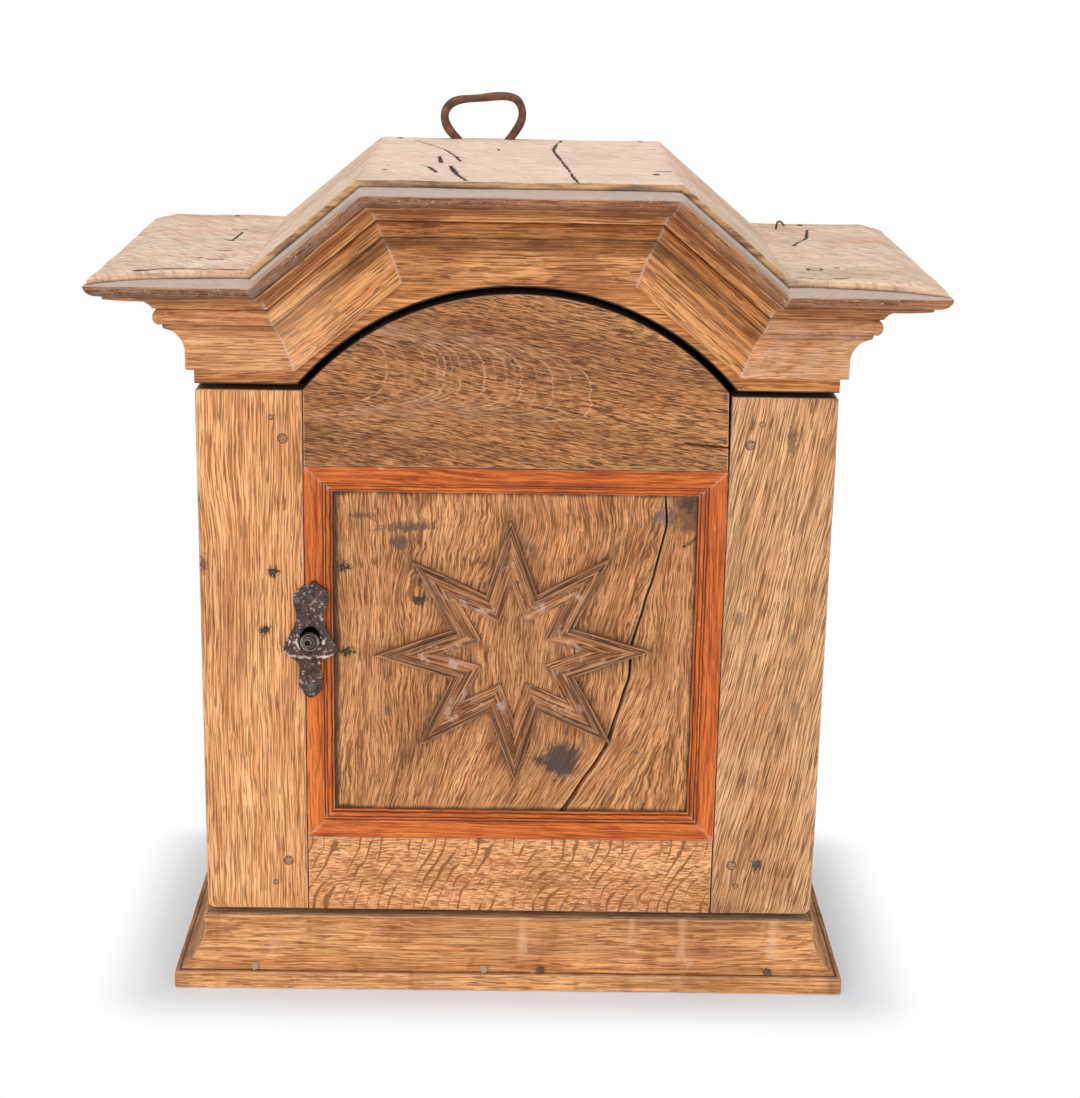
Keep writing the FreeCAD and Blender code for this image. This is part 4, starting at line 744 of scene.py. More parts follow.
def mark_roof(f):
    """Saw lines, sun-bleached and reddish patches, pits, a paler top, the brown front edge, black cracks and
    a painted black shadow under the front edge."""
    saw = f.noise(f.place, (45, 340, 60), 2.0, 0.6, (0, 0, radians(52)), 0.2)
    f.paint(f.between(saw, 0.52, 0.59, 0.0, 0.75), (0.54, 0.35, 0.25))
    f.tint(f.between(f.cloud(70), 0.46, 0.64, 0.0, 0.75), (0.80, 0.80, 0.74))
    f.tint(f.between(f.cloud(45), 0.40, 0.54, 0.5, 0.0), (0.95, 0.78, 0.74))
    f.paint(f.between(f.cloud(2.6, 2.0), 0.67, 0.73, 0.0, 0.7), (0.36, 0.22, 0.14))
    aside = f.math("ABSOLUTE", f.x)
    f.paint(f.between(aside, 100 * MM, 116 * MM, 0.3, 0.0), (1.0, 0.84, 0.71))
    brown = f.tones(f.noise(f.place, (30, 150, 240)), (0.36, (0.10, 0.045, 0.016)), (0.5, (0.40, 0.19, 0.07)),
                    (0.64, (0.62, 0.36, 0.16)))
    front_edge = f.between(f.carried("worn"), 0.5, 0.8, 0.0, 0.95)
    f.paint(f.times(front_edge, f.between(aside, 176 * MM, 190 * MM, 0.9, 0.45)), brown)
    # Black cracks, and painted shadow under the front edge
    f.paint(f.between(f.carried("shade_and_grime"), 0.15, 0.5, 0.0, 0.98), (0.035, 0.02, 0.012))


def mark_nails(f):
    """Dust on the plinth's nail heads left of the middle."""
    low = f.between(f.z, 30 * MM, 40 * MM, 0.75, 0.0)
    f.paint(f.times(low, f.between(f.x, -10 * MM, 0.0, 1.0, 0.0)), (0.50, 0.37, 0.26))


mark_stiles(left_stile_oak, right_stile_oak)
mark_panel(panel_oak)
pale_swirl(arch_rail_oak, SWIRL_TIPS, 0.5)
pale_swirl(arch_rail_oak, FAINT_TIPS, 0.28)
ray_strokes(bottom_rail_oak)
# Painted shade under the cove's step and the crown, and under the nosing
dark_bands(cove_oak, (25, 36.5, (0.40, 0.36, 0.30), 0.85), (35, 47, (0.74, 0.67, 0.57), 0.9))
dark_bands(lit_wing_cove_oak, (31, 36.5, (0.42, 0.36, 0.32), 0.7), (35, 47, (0.70, 0.60, 0.54), 0.8))
dark_bands(crown_oak, (53, 60.5, (0.76, 0.68, 0.64), 0.9))
mark_crown(crown_oak)
mark_coves(cove_oak, lit_wing_cove_oak)
mark_red(red_stain)
mark_star(star_oak)
mark_plinth(plinth_oak)
mark_frieze(frieze_oak)
mark_back(back_wood)
mark_back(middle_back_wood)
mark_roof(roof_wood)
mark_nails(rusty_iron)
for finish in woods:
    finish.done()
for finish in irons:
    finish.done(0.6, 0.8 * MM)

# Door frame

CORNER_WEAR = 6.0
JOINT_GAP, LOW_RAIL_GAP, ARCH_GAP, ARCH_OPEN = 0.35, 0.6, 0.7, 1.6
STILE_WORN, RAIL_WORN, PANEL_WORN = 1.6, 1.2, 0.8
# Painted shade on the door's edges in the gap under the frieze
GAP_SHADE, GAP_SHADE_FADE = 1.15, 0.6


def upright(inner, outer):
    """Lays a stile's length up z and its width along x, with its outer corners worn round by a quarter
    circle."""
    def shape(u, v):
        z = DOOR_LOW + (DOOR_HIGH - DOOR_LOW) * u
        near = np.maximum(CORNER_WEAR - np.minimum(z - DOOR_LOW, (DOOR_HIGH - z) * 3), 0)
        worn_outer = outer - np.sign(outer) * (CORNER_WEAR - np.sqrt(CORNER_WEAR ** 2 - near ** 2)) * 0.8
        return inner + (worn_outer - inner) * v, z
    return shape


def arched(left, right, open_joint=0.0):
    """Lays out the arched rail: straight below, above on a circle about the door's middle, and drawn back
    from the right stile by a joint that opens towards the top."""
    def shape(u, v):
        x = left + (right - open_joint * v - left) * u
        return x, RAIL_HIGH + (ARCH_CENTRE + np.sqrt(ARCH_RADIUS ** 2 - x ** 2) - RAIL_HIGH) * v
    return shape


def level(left, right, low, high):
    """Lays a board's length along x and its width up z."""
    return lambda u, v: (left + (right - left) * u, low + (high - low) * v)


def gap_shade(x, z):
    """Painted shade on the edges that face the frieze across the gap: it fades down from the stiles' top
    and in from the arch.
    """
    arch = np.where(np.abs(x) < STILE_EDGE, ARCH_RADIUS - np.hypot(x, z - ARCH_CENTRE), DOOR_HIGH - z)
    return GAP_SHADE * np.exp(-np.maximum(arch, 0) / GAP_SHADE_FADE)


for side, sign, wood, seed in (("left", -1, left_stile_oak, 1), ("right", 1, right_stile_oak, 2)):
    front, back = (upright(sign * edge, sign * HALF) for edge in (STILE_EDGE + JOINT_GAP, STILE_EDGE))
    stile = board_of(DOOR_HIGH - DOOR_LOW, HALF - STILE_EDGE, FRONT, DOOR_BACK, STILE_WORN, front, back, seed,
                     3.0, shade_and_dirt=gap_shade)
    piece(f"{side}_stile", "door", wood, "door_oak", stile, f"door_{side}_stile")

RAIL_SPLIT = [(0.8, 2.2, ((121, 424.6), (131, 423.6), (142.5, 422.9), (153, 422.2)))]
top_rail = board_of(2 * STILE_EDGE, ARCH_CENTRE + ARCH_RADIUS - RAIL_HIGH, FRONT, DOOR_BACK, RAIL_WORN,
                    arched(-STILE_EDGE + JOINT_GAP, STILE_EDGE - ARCH_GAP, ARCH_OPEN),
                    arched(-STILE_EDGE, STILE_EDGE), 3, 1.6, RAIL_SPLIT, gap_shade)
piece("arched_rail", "door", arch_rail_oak, "door_oak", top_rail, "door_top_rail")
low_rail = board_of(2 * STILE_EDGE, RAIL_LOW - DOOR_LOW, FRONT, DOOR_BACK, RAIL_WORN,
                    level(-STILE_EDGE + JOINT_GAP, STILE_EDGE - LOW_RAIL_GAP, DOOR_LOW, RAIL_LOW),
                    level(-STILE_EDGE, STILE_EDGE, DOOR_LOW, RAIL_LOW), 4, 3.0)
piece("bottom_rail", "door", bottom_rail_oak, "door_oak", low_rail, "door_bottom_rail")

# Split panel: the split's height, place and half opening at its bends

SPLIT = np.array([(117, 27, 2.5), (136.2, 39.3, 2.3), (186.9, 70.6, 1.7), (241.4, 86.3, 1.25),
                  (268.9, 87.7, 1.15), (325.8, 103.0, 0.95), (359.5, 110.6, 0.85), (385.2, 109.8, 0.7),
                  (403, 109.5, 0.5)])
SPLIT_Z, SPLIT_X, SPLIT_OPEN = SPLIT.T
SPLIT_MEAN, SPLIT_CLOSED, SPLIT_RAG, SPLIT_WAVE, SPLIT_SEED = 83.0, 0.05, 0.5, 13, 7
NAIL_GASH = [(1.2, 1.8, ((121, 343.5), (126, 346.5), (134, 352.5)))]


def beside_split(edge, sign):
    """Lays out the panel from one of its sides to the split, whose edge is a ragged line through the bends,
    off by the sign times half the opening."""
    def shape(u, v):
        z = PANEL_FOOT + (PANEL_TOP - PANEL_FOOT) * u
        line = np.stack([z, np.full_like(z, SPLIT_SEED), np.zeros_like(z)], -1)
        split = np.interp(z, SPLIT_Z, SPLIT_X) + wander(line, SPLIT_WAVE, SPLIT_SEED) * SPLIT_RAG
        split = split + sign * np.interp(z, SPLIT_Z, SPLIT_OPEN)
        first, last = (edge, split) if edge < 0 else (split, edge)
        return first + (last - first) * v, z
    return shape


HALO_FADES, HALO_INSIDE, HALO_LAP = ((0.40, 36), (0.14, 6)), 0.38, 2


def star_halo(x, z):
    """Painted shade and grime round the star: a slow and a quick fade with the distance outside the star's
    edge, which is the line from tip to valley in the sector that a point folds into, and an even share inside
    it."""
    angle = np.arctan2(z - STAR_Z, x - STAR_X) - STAR_TILT
    fold = np.abs((angle + pi / 8) % (pi / 4) - pi / 8)
    away = np.hypot(x - STAR_X, z - STAR_Z)
    valley = STAR_VALLEY * np.array([cos(pi / 8), sin(pi / 8)])
    way = valley - np.array([STAR_TIP, 0])
    out = np.array([way[1], -way[0]]) / np.linalg.norm(way)
    gap = (away * np.cos(fold) - STAR_TIP) * out[0] + away * np.sin(fold) * out[1]
    halo = sum(share * np.exp(-np.maximum(gap, 0) / fade) for share, fade in HALO_FADES)
    return np.where(gap > -HALO_LAP, halo, HALO_INSIDE)


panel = [board_of(PANEL_TOP - PANEL_FOOT, PANEL_SIDE - sign * SPLIT_MEAN, PANEL_FRONT, PANEL_BACK, PANEL_WORN,
                  beside_split(sign * PANEL_SIDE, sign), beside_split(sign * PANEL_SIDE, sign * SPLIT_CLOSED),
                  seed, 1.9, cracks, star_halo) for sign, seed, cracks in ((-1, 5, ()), (1, 6, NAIL_GASH))]
piece("split_panel", "door", panel_oak, "panel_oak", together(panel), "door_panel")

# Red mouldings round the panel: reach from the frame, height over the panel

RED_FRAME = moulded([(0, 0, 0), (20.5, 0, 0), (20.5, 2.6, 0), (18.6, 2.6, 0), (18.6, 4.2, 0.3),
                     (15.4, 4.2, 0), (15.4, 5.6, 0), (13.4, 6.0, 0), (13.4, 7.0, 0.05), (0, 9, 0)], 0.4, 1.2)


def red_corner(x, z):
    """The outline's points at a mitred corner of the frame."""
    reach, height = RED_FRAME[0].T
    inwards = reach if z < PANEL_MIDDLE else -reach
    return np.column_stack([x - np.sign(x) * reach, PANEL_FRONT - height, z + inwards])


RED_CORNERS = [red_corner(sign * STILE_EDGE, z)
               for sign, z in ((-1, RAIL_LOW), (1, RAIL_LOW), (1, RAIL_HIGH), (-1, RAIL_HIGH))]
for k, side in enumerate(("bottom", "right", "top", "left")):
    strip = run_of(RED_FRAME, RED_CORNERS[k], RED_CORNERS[(k + 1) % 4], 20 + k, joint=0.35, dust=3.5,
                   edge_wear=0.7)
    piece(f"red_moulding_{side}", "door", red_stain, "red_moulding", strip, f"panel_frame_{side}")

# Star of mitred strips: distance in from the outer edge, height over the panel

STAR_STRIP = moulded([(0, 0, 0), (16, 0, 0), (16, 2.6, 0), (9.5, 4.2, 0), (3.6, 6.5, 0), (3.2, 5.0, 0),
                      (1.8, 4.4, 0), (0, 4.6, 0)], 0.35, 1.2)
STRIP_SHIFT = 61.0


def star_strips():
    """Sixteen strips between the rays to tips and valleys: an edge shrunk towards the middle by its
    distance in."""
    tip = np.array([STAR_TIP, 0])
    valley = STAR_VALLEY * np.array([cos(pi / 8), sin(pi / 8)])
    apart = (tip[0] * valley[1] - tip[1] * valley[0]) / np.linalg.norm(tip - valley)
    reach, height = STAR_STRIP[0].T
    share = (1 - reach / apart)[:, None]
    strips = []
    for k in range(16):
        hand = np.array([1, 1 - 2 * (k % 2)])
        angle = pi / 4 * (k // 2) + STAR_TILT
        spin = np.array([[cos(angle), -sin(angle)], [sin(angle), cos(angle)]])
        ends = []
        for ray in (tip, valley):
            flat = share * (spin @ (ray * hand))
            ends.append(np.column_stack([STAR_X + flat[:, 0], PANEL_FRONT - height, STAR_Z + flat[:, 1]]))
        points, faces, grain, marks = run_of(STAR_STRIP, *ends, 40 + k, 4.0, joint=0.3, dust=0.8,
                                             joint_dark=0.8)
        strips.append((points, faces, grain + np.array([STRIP_SHIFT * k, 0, 0]), marks))
    return together(strips)


piece("star", "door", star_oak, "star_oak", star_strips(), "star_strips")

# Cornice and plinth mouldings: reach from the case, height over the line

COVE = moulded([(0, 0, 0), (5.3, 0, 0), (5.3, 10, -0.17), (19, 33, 0), (19, 36, 0), (22, 36, 0.26),
                (22, 47, 0), (0, 47, 0)])
CROWN = moulded([(0, 47, 0), (24, 47, -0.17), (40, 55, 0), (54, 58.5, 0), (54, 61, 0.195), (65, 68.5, 0),
                 (65, 69, 0), (44, 72.5, 0), (0, 72.5, 0)])
PLINTH = moulded([(0, 0, 0), (23.5, 0, 0), (23.5, 13.5, 0), (19.5, 13.5, -0.17), (3, 52, 0), (0, 52, 0)], 1.2)
CORNICE_RUNS = ("left_return", "left_wing", "left_rake", "top", "right_rake", "right_wing", "right_return")


def return_ends(profile, line):
    """The outline's points at the back and at the outer corner of the left return."""
    reach, height = profile[0].T
    return [np.column_stack([-HALF - reach, y, line + height])
            for y in (np.full_like(reach, BACK), FRONT - reach)]


def cornice_ends(profile):
    """The outline's points at every end of the runs from left to right. The mitres of the rakes lean
    outwards."""
    reach, height = profile[0].T
    ends = return_ends(profile, CORNICE_LINE)
    for corner, line in ((CORNER, CORNICE_LINE), (TOP_CORNER, TOP_LINE)):
        ends.append(np.column_stack([-corner - LEAN * height, FRONT - reach, line + height]))
    return ends + [flipped(end) for end in ends[::-1]]


for name, profile, wood, wing_wood, seed in (("cove", COVE, cove_oak, lit_wing_cove_oak, 60),
                                             ("crown", CROWN, crown_oak, crown_oak, 80)):
    ends = cornice_ends(profile)
    for k, part in enumerate(CORNICE_RUNS):
        finish = wood if part == "top" or part.endswith("rake") else wing_wood
        run = run_of(profile, ends[k], ends[k + 1], seed + 2 * k, dust=1.3, edge_wear=0.4)
        piece(f"{name}_moulding_{part}", "case", finish, "cornice_oak", run, f"{name}_{part}")

plinth_ends = return_ends(PLINTH, 0.0)
plinth_ends += [flipped(end) for end in plinth_ends[::-1]]
for k, part in enumerate(("left", "front", "right")):
    run = run_of(PLINTH, plinth_ends[k], plinth_ends[k + 1], 100 + 2 * k, dust=1.2)
    piece(f"plinth_moulding_{part}", "case", plinth_oak, "plinth_oak", run, f"plinth_{part}")

# Roof boards, with their cracks, slots and gashes: width, depth and their points in x and y

ROOF_FRONT, ROOF_FORWARD = FRONT - BEVEL_START, 17.0
WING_INNER = CORNER + LEAN * CORNICE_RISE
WING_HIGH, RIDGE_HIGH = (line + CORNICE_RISE + ROOF_THICK for line in (CORNICE_LINE, TOP_LINE))
SIDE_WORN, FRONT_WORN, FRONT_CURVE, FRONT_FADE = 0.8, 1.0, 2.2, 1.2
FRONT_RAG, SIDE_RAG, SIDE_BAND = ((0.8, 34), (0.35, 6)), (0.7, 60), 7.0
WARP, WARP_LONG, THINNED = 0.35, 55, 0.55
TOP_CRACKS = [(1.0, 2.4, ((-83, 134), (-73, 110), (-57, 67), (-48, 25), (-43, -11))),
              (0.9, 1.6, ((-48, 25), (-40, 10))),
              (1.5, 3.0, ((-70, -37), (-65, -47), (-58, -82))),
              (1.6, 3.0, ((-50, -38), (-44, -88), (-36, -125))),
              (1.2, 2.4, ((-60, 25), (-57, -22))),
              (1.0, 2.4, ((33, 148), (28, 115), (25, 74), (29, 20), (35, -65), (39, -128))),
              (2.0, 1.6, ((97, 90), (107, 90))), (2.0, 1.6, ((97, -49), (106, -49))),
              (2.0, 1.6, ((-102, -41), (-94, -41))), (0.9, 1.2, ((-17, 75), (-16, 61)))]
LEFT_CRACKS = [(2.0, 1.6, ((-218, -35), (-209, -35))), (2.0, 1.6, ((-218, -76), (-210, -76))),
               (0.95, 1.3, ((-223, 25), (-213, 11), (-211, 57))), (2.0, 1.6, ((-218, 70), (-210, 70))),
               (2.0, 1.6, ((-262, -128), (-245, -120), (-228, -118), (-205, -122), (-190, -119)))]
RIGHT_CRACKS = [(1.3, 2.4, ((240, -112), (253, -119), (266, -127))),
                (1.0, 2.0, ((228, 120), (222, 76), (214, 55))),
                (0.9, 1.0, ((204, -75), (213, -75), (213, -82), (204, -82), (204, -75))),
                (0.95, 1.4, ((214, 55), (206, 30))), (1.6, 1.4, ((192, -118), (212, -120), (228, -114)))]


def roof_line(lift):
    """The section's bends from left to right, in x and z, at a height over the cornice."""
    aside, up = LEAN * (CORNICE_RISE + lift), CORNICE_RISE + lift
    left = [(-ROOF_SIDE, CORNICE_LINE + up), (-CORNER - aside, CORNICE_LINE + up),
            (-TOP_CORNER - aside, TOP_LINE + up)]
    return np.array(left + [(-x, z) for x, z in left[::-1]])


def roof_board(low, high, seed, cracks=(), step=1.25):
    """A roof board: its under and upper face each run straight between two bends of the section, from a
    ragged front edge to the back. Where the crown slopes away beneath, the board bends down with it and
    thins out."""
    width, depth = np.hypot(*(high[1] - high[0])), BACK - ROOF_FRONT
    u, v = np.meshgrid(lines(width, SIDE_WORN, step), lines(depth, FRONT_WORN, step), indexing="ij")
    off_u, off_v = np.minimum(u, width - u), np.minimum(v, depth - v)
    soft = np.maximum(SIDE_WORN - off_u, 0) ** 2 + np.maximum(FRONT_WORN - off_v, 0) ** 2
    faces = []
    for (first, last), upper in ((high, 1.0), (low, 0.0)):
        x = first[0] + (last[0] - first[0]) * u / width
        row = np.stack([x, np.zeros_like(x), np.zeros_like(x)], -1)
        outer = np.maximum((np.abs(x) - WING_INNER) / (ROOF_SIDE - WING_INNER), 0)
        start = ROOF_FRONT - ROOF_FORWARD * outer ** FRONT_CURVE
        for j, (deep, long) in enumerate(FRONT_RAG):
            start = start + deep * (1 + wander(row, long, seed + j))
        y = start + (BACK - start) * v / depth
        rim = eased((np.abs(x) - ROOF_SIDE + SIDE_BAND) / SIDE_BAND)
        deep, long = SIDE_RAG
        x = x - np.sign(x) * rim * deep * (1 + wander(np.stack([0 * y, y, 0 * y], -1), long, seed + 3))
        drop = np.maximum(np.maximum(np.abs(x) - HALF, FRONT - y) - BEVEL_START, 0) * BEVEL_FALL
        z = first[1] + (last[1] - first[1]) * u / width - drop
        bump = WARP * wander(np.stack([x, y, 0 * x], -1), WARP_LONG, seed + 2) - THINNED * drop - soft
        deep, dark = carved(x, y, cracks if upper else ())
        faces.append((np.stack([x, y, z + upper * (bump - deep)], -1), dark))
    (top, cracked), (under, _) = faces
    front_edge = np.exp(-v / FRONT_FADE)
    # The under face gets painted shadow at its front edge
    return slab(top, under, top, front_edge, cracked, 0.4 * front_edge, 1.0)


LOW_LINE, HIGH_LINE = roof_line(0.0), roof_line(ROOF_THICK)
for k, (name, cracks) in enumerate((("left_wing", LEFT_CRACKS), ("left_slope", ()), ("top", TOP_CRACKS),
                                    ("right_slope", ()), ("right_wing", RIGHT_CRACKS))):
    bends = slice(k, k + 2) if k < 3 else slice(k + 1, k - 1, -1)
    board = roof_board(LOW_LINE[bends], HIGH_LINE[bends], 120 + 5 * k, cracks)
    piece(f"roof_board_{name}", "case", roof_wood, "roof_board", board, f"roof_{name}")

# Hanging loop

LOOP_X, LOOP_Y, LOOP_RADIUS = -28.0, 145.0, 3.5
LOOP_CORNERS = [(-8, -70), (-8, -40), (-8, -18), (-17, -4), (-30, 7), (-34, 20), (-25, 31), (-5, 31.5),
                (13, 34.5), (26, 33), (31, 20), (26, 8), (15, -5), (8, -20), (8, -40), (8, -70)]
loop_path = smooth_path([(LOOP_X + x, LOOP_Y, RIDGE_HIGH + z) for x, z in LOOP_CORNERS])
piece("forged_loop", "case", rusty_iron, "rusty_iron", bar_along(loop_path, LOOP_RADIUS, 150), "hanging_loop")

# Keyhole plate: height over its foot and half width

PLATE_OUTLINE = np.array([(0, 1), (1.8, 3.5), (4.9, 6.6), (8.6, 8.8), (13.5, 9.2), (19.6, 8), (23, 7.8),
                          (27, 8.3), (29.4, 11.2), (31.8, 15.8), (35, 19), (38, 20), (41, 18.8), (44, 17),
                          (51.4, 13.8), (56.3, 11), (63, 9.6), (68.5, 10.8), (76, 12.8), (81, 11.8),
                          (85, 8), (88, 3.8), (90, 0.8)])
PLATE_TALL, HOLE_RISE, HOLE_WIDE, HOLE_TALL = 90.0, 45.0, 7.5, 10.0
PLATE_FOOT = KEY_Z - HOLE_RISE
BOSSES = [(-3, 68, 2.0, 0.9), (1.5, 66.5, 2.0, 0.9), (-11, 44, 3.0, 1.0), (11, 45, 3.0, 1.0),
          (-15, 38, 3.0, 0.6), (15, 38, 3.0, 0.6), (0, 59, 3.0, -0.7)]
RIDGE_RISE, RIDGE_BEND, RIDGE_WIDE, RIDGE_DEEP = 31.8, 0.004, 1.7, 1.7
RIM_AWAY, RIM_WIDE, RIM_DEEP = 2.2, 1.2, 0.8


def keyhole_plate():
    """The plate's surface: rings from the oval opening out to the edge, raised by bosses, a cross ridge and
    a rim. The head leans to the right."""
    rise = np.linspace(0, PLATE_TALL, 111)
    half = np.interp(rise, *PLATE_OUTLINE.T)
    half = np.convolve(np.pad(half, 2, mode="edge"), [0.15, 0.2, 0.3, 0.2, 0.15], "valid")
    edge = np.concatenate([np.column_stack([half, rise]), np.column_stack([-half, rise])[::-1]])
    edge = edge + 0.6 * np.stack([wander(np.pad(edge, ((0, 0), (0, 1))), 14, s) for s in (160, 161)], -1)
    angle = np.arctan2((edge[:, 1] - HOLE_RISE) / HOLE_TALL, edge[:, 0] / HOLE_WIDE)
    hole = np.column_stack([HOLE_WIDE * np.cos(angle), HOLE_RISE + HOLE_TALL * np.sin(angle)])
    share = np.concatenate([[0, 0.0, 0.03], np.linspace(0.08, 0.95, 22), [0.985, 1, 1]])
    flat = hole + (edge - hole) * share[:, None, None]
    lift = np.concatenate([[0, 1.4, 2.0], np.full(22, 2.0), [1.9, 1.2, 0]])[:, None]
    x, h = flat[..., 0], flat[..., 1]
    relief = sum(high * np.exp(-((x - cx) ** 2 + (h - ch) ** 2) / size ** 2) for cx, ch, size, high in BOSSES)
    relief += RIDGE_DEEP * np.exp(-((h - RIDGE_RISE - RIDGE_BEND * x ** 2) / RIDGE_WIDE) ** 2)
    relief += RIM_DEEP * np.exp(-((np.linalg.norm(flat - hole, axis=2) - RIM_AWAY) / RIM_WIDE) ** 2)
    relief += 0.4 * wander(np.stack([x, h, np.zeros_like(x)], -1), 6, 162)
    relief *= np.interp(share, [0, 0.03, 0.1, 0.9, 0.99, 1], [0, 0.3, 1, 1, 0.3, 0])[:, None]
    lean = np.interp(h, [0, 30, 60, 76, 85, 90], [0.9, 0, 0.5, 0.8, 2.4, 3.4])
    rings = np.stack([KEY_X + x + lean, FRONT - lift - relief, PLATE_FOOT + h], -1)
    rubbed = np.interp(share, [0, 0.05, 0.84, 1], [0.7, 0, 0, 0.62])[:, None]
    rubbed = rubbed + 0.85 * np.clip(relief / 1.4, 0, 1)
    return loft(rings, rings.copy(), rubbed, ring_shaped=True)


piece("keyhole_plate_forged", "door", plate_iron, "forged_iron", keyhole_plate(), "keyhole_plate", sharp=50)

TOWARDS_FRONT, TOWARDS_BACK, UPWARDS = (0, -1, 0), (0, 1, 0), (0, 0, 1)
DOME_RADIUS = 3.6
DOME = [(0.4, 1.0), (1.6, 0.93), (2.7, 0.66), (3.4, 0.25), (DOME_RADIUS, -0.2), (3.2, -0.6)]


def nail_heads(spots, axis, seed, around=16):
    """Hammered nail heads: at each x, y and z a low dome of its size and height, turned about its nail and
    uneven round its edge."""
    return [turned([(r / DOME_RADIUS * size, h * high) for r, h in DOME], spot, axis, around, seed + k, 0.1)
            for k, (*spot, size, high) in enumerate(spots)]


PLATE_HEADS = [(0, 77.7, 3.6, 1.7), (-8.6, 75.3, 3.3, 1.3), (2.3, 83.2, 1.9, 1.2), (1.1, 8, 4.4, 1.5)]
heads = [(KEY_X + x, PLATE_FRONT - 0.3, PLATE_FOOT + rise, size, high) for x, rise, size, high in PLATE_HEADS]
piece("keyhole_plate_nail_heads", "door", drum_iron, "forged_iron",
      together(nail_heads(heads, TOWARDS_FRONT, 170)), "keyhole_plate_nails")

# Key drum: radius and height over the door of its stepped face

DRUM = np.array([(9.6, 0.3), (7.3, 0.3), (7.2, 0.6), (7.1, 2.6), (6.6, 3.0), (5.7, 2.7), (5.4, 1.9),
                 (5.0, 1.9), (4.6, 2.9), (3.9, 3.0), (3.5, 2.1), (3.1, 2.1), (2.8, 2.8), (2.3, 2.7),
                 (2.0, 1.6), (1.8, -1.5), (0.2, -1.6)])
DRUM_RADIUS, DRUM_RIGHT, DRUM_LOW = 7.3, 0.3, 1.6


def key_drum():
    """The drum's face: rings of a stepped profile about a centre that moves left and down towards the
    keyhole, on an oval painted black as the shade in the plate's opening, with painted shade in the grooves."""
    radius, high = DRUM.T[..., None]
    angle = np.linspace(0, 2 * pi, 44, endpoint=False)
    wave = 1 + 0.05 * wander(np.column_stack([np.cos(angle), np.sin(angle), 0 * angle]) * 10, 16, 172)
    inside, oval = 1 - np.minimum(radius / DRUM_RADIUS, 1), radius > 8
    x = KEY_X + DRUM_RIGHT - 2.8 * inside + radius * wave * np.cos(angle)
    tall = np.where(oval, 1.18, 1.0)
    z = KEY_Z - DRUM_LOW - 1.4 * inside + radius * wave * np.sin(angle) * tall + DRUM_LOW * oval
    lift = high + 0.35 * np.sin(angle + radius) * (radius < 7) * (high > 0)
    rings = np.stack([x, FRONT - lift, z], -1)
    # Painted shade: black on the oval and in the centre hole, less in the grooves, none on the ring tops
    hollow_shade = np.interp(high, [-1.5, 0.3, 0.7, 1.6, 2.2, 2.6], [1, 1, 0.6, 0.75, 0.5, 0])
    return loft(rings, rings.copy(), (high > 2.55) * 0.7, hollow_shade)


piece("key_drum_face", "door", drum_iron, "forged_iron", key_drum(), "key_drum")

# Pegs, nails and nail points

PEG = [(0.5, 0.55), (1.8, 0.5), (2.7, 0.35), (3.05, 0.05), (3.1, -0.6)]
pegs = [turned([(r * size, h) for r, h in PEG], (x, y, z), axis, 20, seed + k, 0.06)
        for y, axis, seed in ((FRONT + 0.1, TOWARDS_FRONT, 180), (DOOR_BACK - 0.1, TOWARDS_BACK, 190))
        for k, (x, z, size) in enumerate(PEGS)]
piece("pegs", "door", peg_wood, "peg_wood", together(pegs), "door_pegs")

NAIL_POINT, POINT_OVAL = [(0.2, 0.9), (0.7, 0.7), (1.2, 0.3), (1.5, -0.5)], (1.5, 0.8)
LOCK_BACK = -59.0
spots = [(x, FRONT, z) for x, z in STILE_POINTS] + [(x, PANEL_FRONT, z) for x, z in PANEL_POINTS]
points = [turned(NAIL_POINT, spot, TOWARDS_FRONT, 9, 200 + k, 0.3, POINT_OVAL)
          for k, spot in enumerate(spots)]
heads = [(x, LOCK_BACK + 0.3, z, 3.2, 1.4) for x in (-181, -125) for z in (263.5, 327.5)]
piece("lock_nail_points", "door", forged_iron, "forged_iron",
      together(points + nail_heads(heads, TOWARDS_BACK, 210)), "lock_nails")

STAR_PINS = [(2.1, 317.2), (-11.7, 318.9), (-34.4, 303.2), (-48.7, 293.3), (49.1, 269.5), (38.9, 228),
             (-46.8, 230.8), (-53.4, 248.8), (53.1, 254.9), (27, 217)]
heads = [(x, PANEL_FRONT - 4.6, z, 1.3, 0.7) for x, z in STAR_PINS]
piece("star_pins", "door", drum_iron, "forged_iron", together(nail_heads(heads, TOWARDS_FRONT, 240)))

PLINTH_NAIL_Y, PLINTH_NAIL_Z, PLINTH_SLOPE = -104.6, 16.6, (0, -0.94, 0.34)
heads = [(x, PLINTH_NAIL_Y, PLINTH_NAIL_Z, 3.4, 0.8) for x in (-193, -19, 24, 197)]
piece("plinth_nail_heads", "case", rusty_iron, "rusty_iron",
      together(nail_heads(heads, PLINTH_SLOPE, 220, 5)), "plinth_nails")

heads = [(side * x, y, z, 2.4, 0.5) for x, z in ((225, WING_HIGH), (95, RIDGE_HIGH)) for side in (-1, 1)
         for y in (-73.1, 142.5)]
bent_nail = smooth_path([(x, y, WING_HIGH + z) for x, y, z in (
    (203, 117, -4), (203, 117, 2), (203.5, 116, 6), (206, 115, 7), (209, 114, 3))], 24)
piece("roof_nail_heads", "case", rusty_iron, "rusty_iron",
      together(nail_heads(heads, UPWARDS, 230) + [bar_along(bent_nail, 0.9, 238, 8, 0.1)]), "roof_nails")

# Finishes of the pieces that keep the frame's own shape

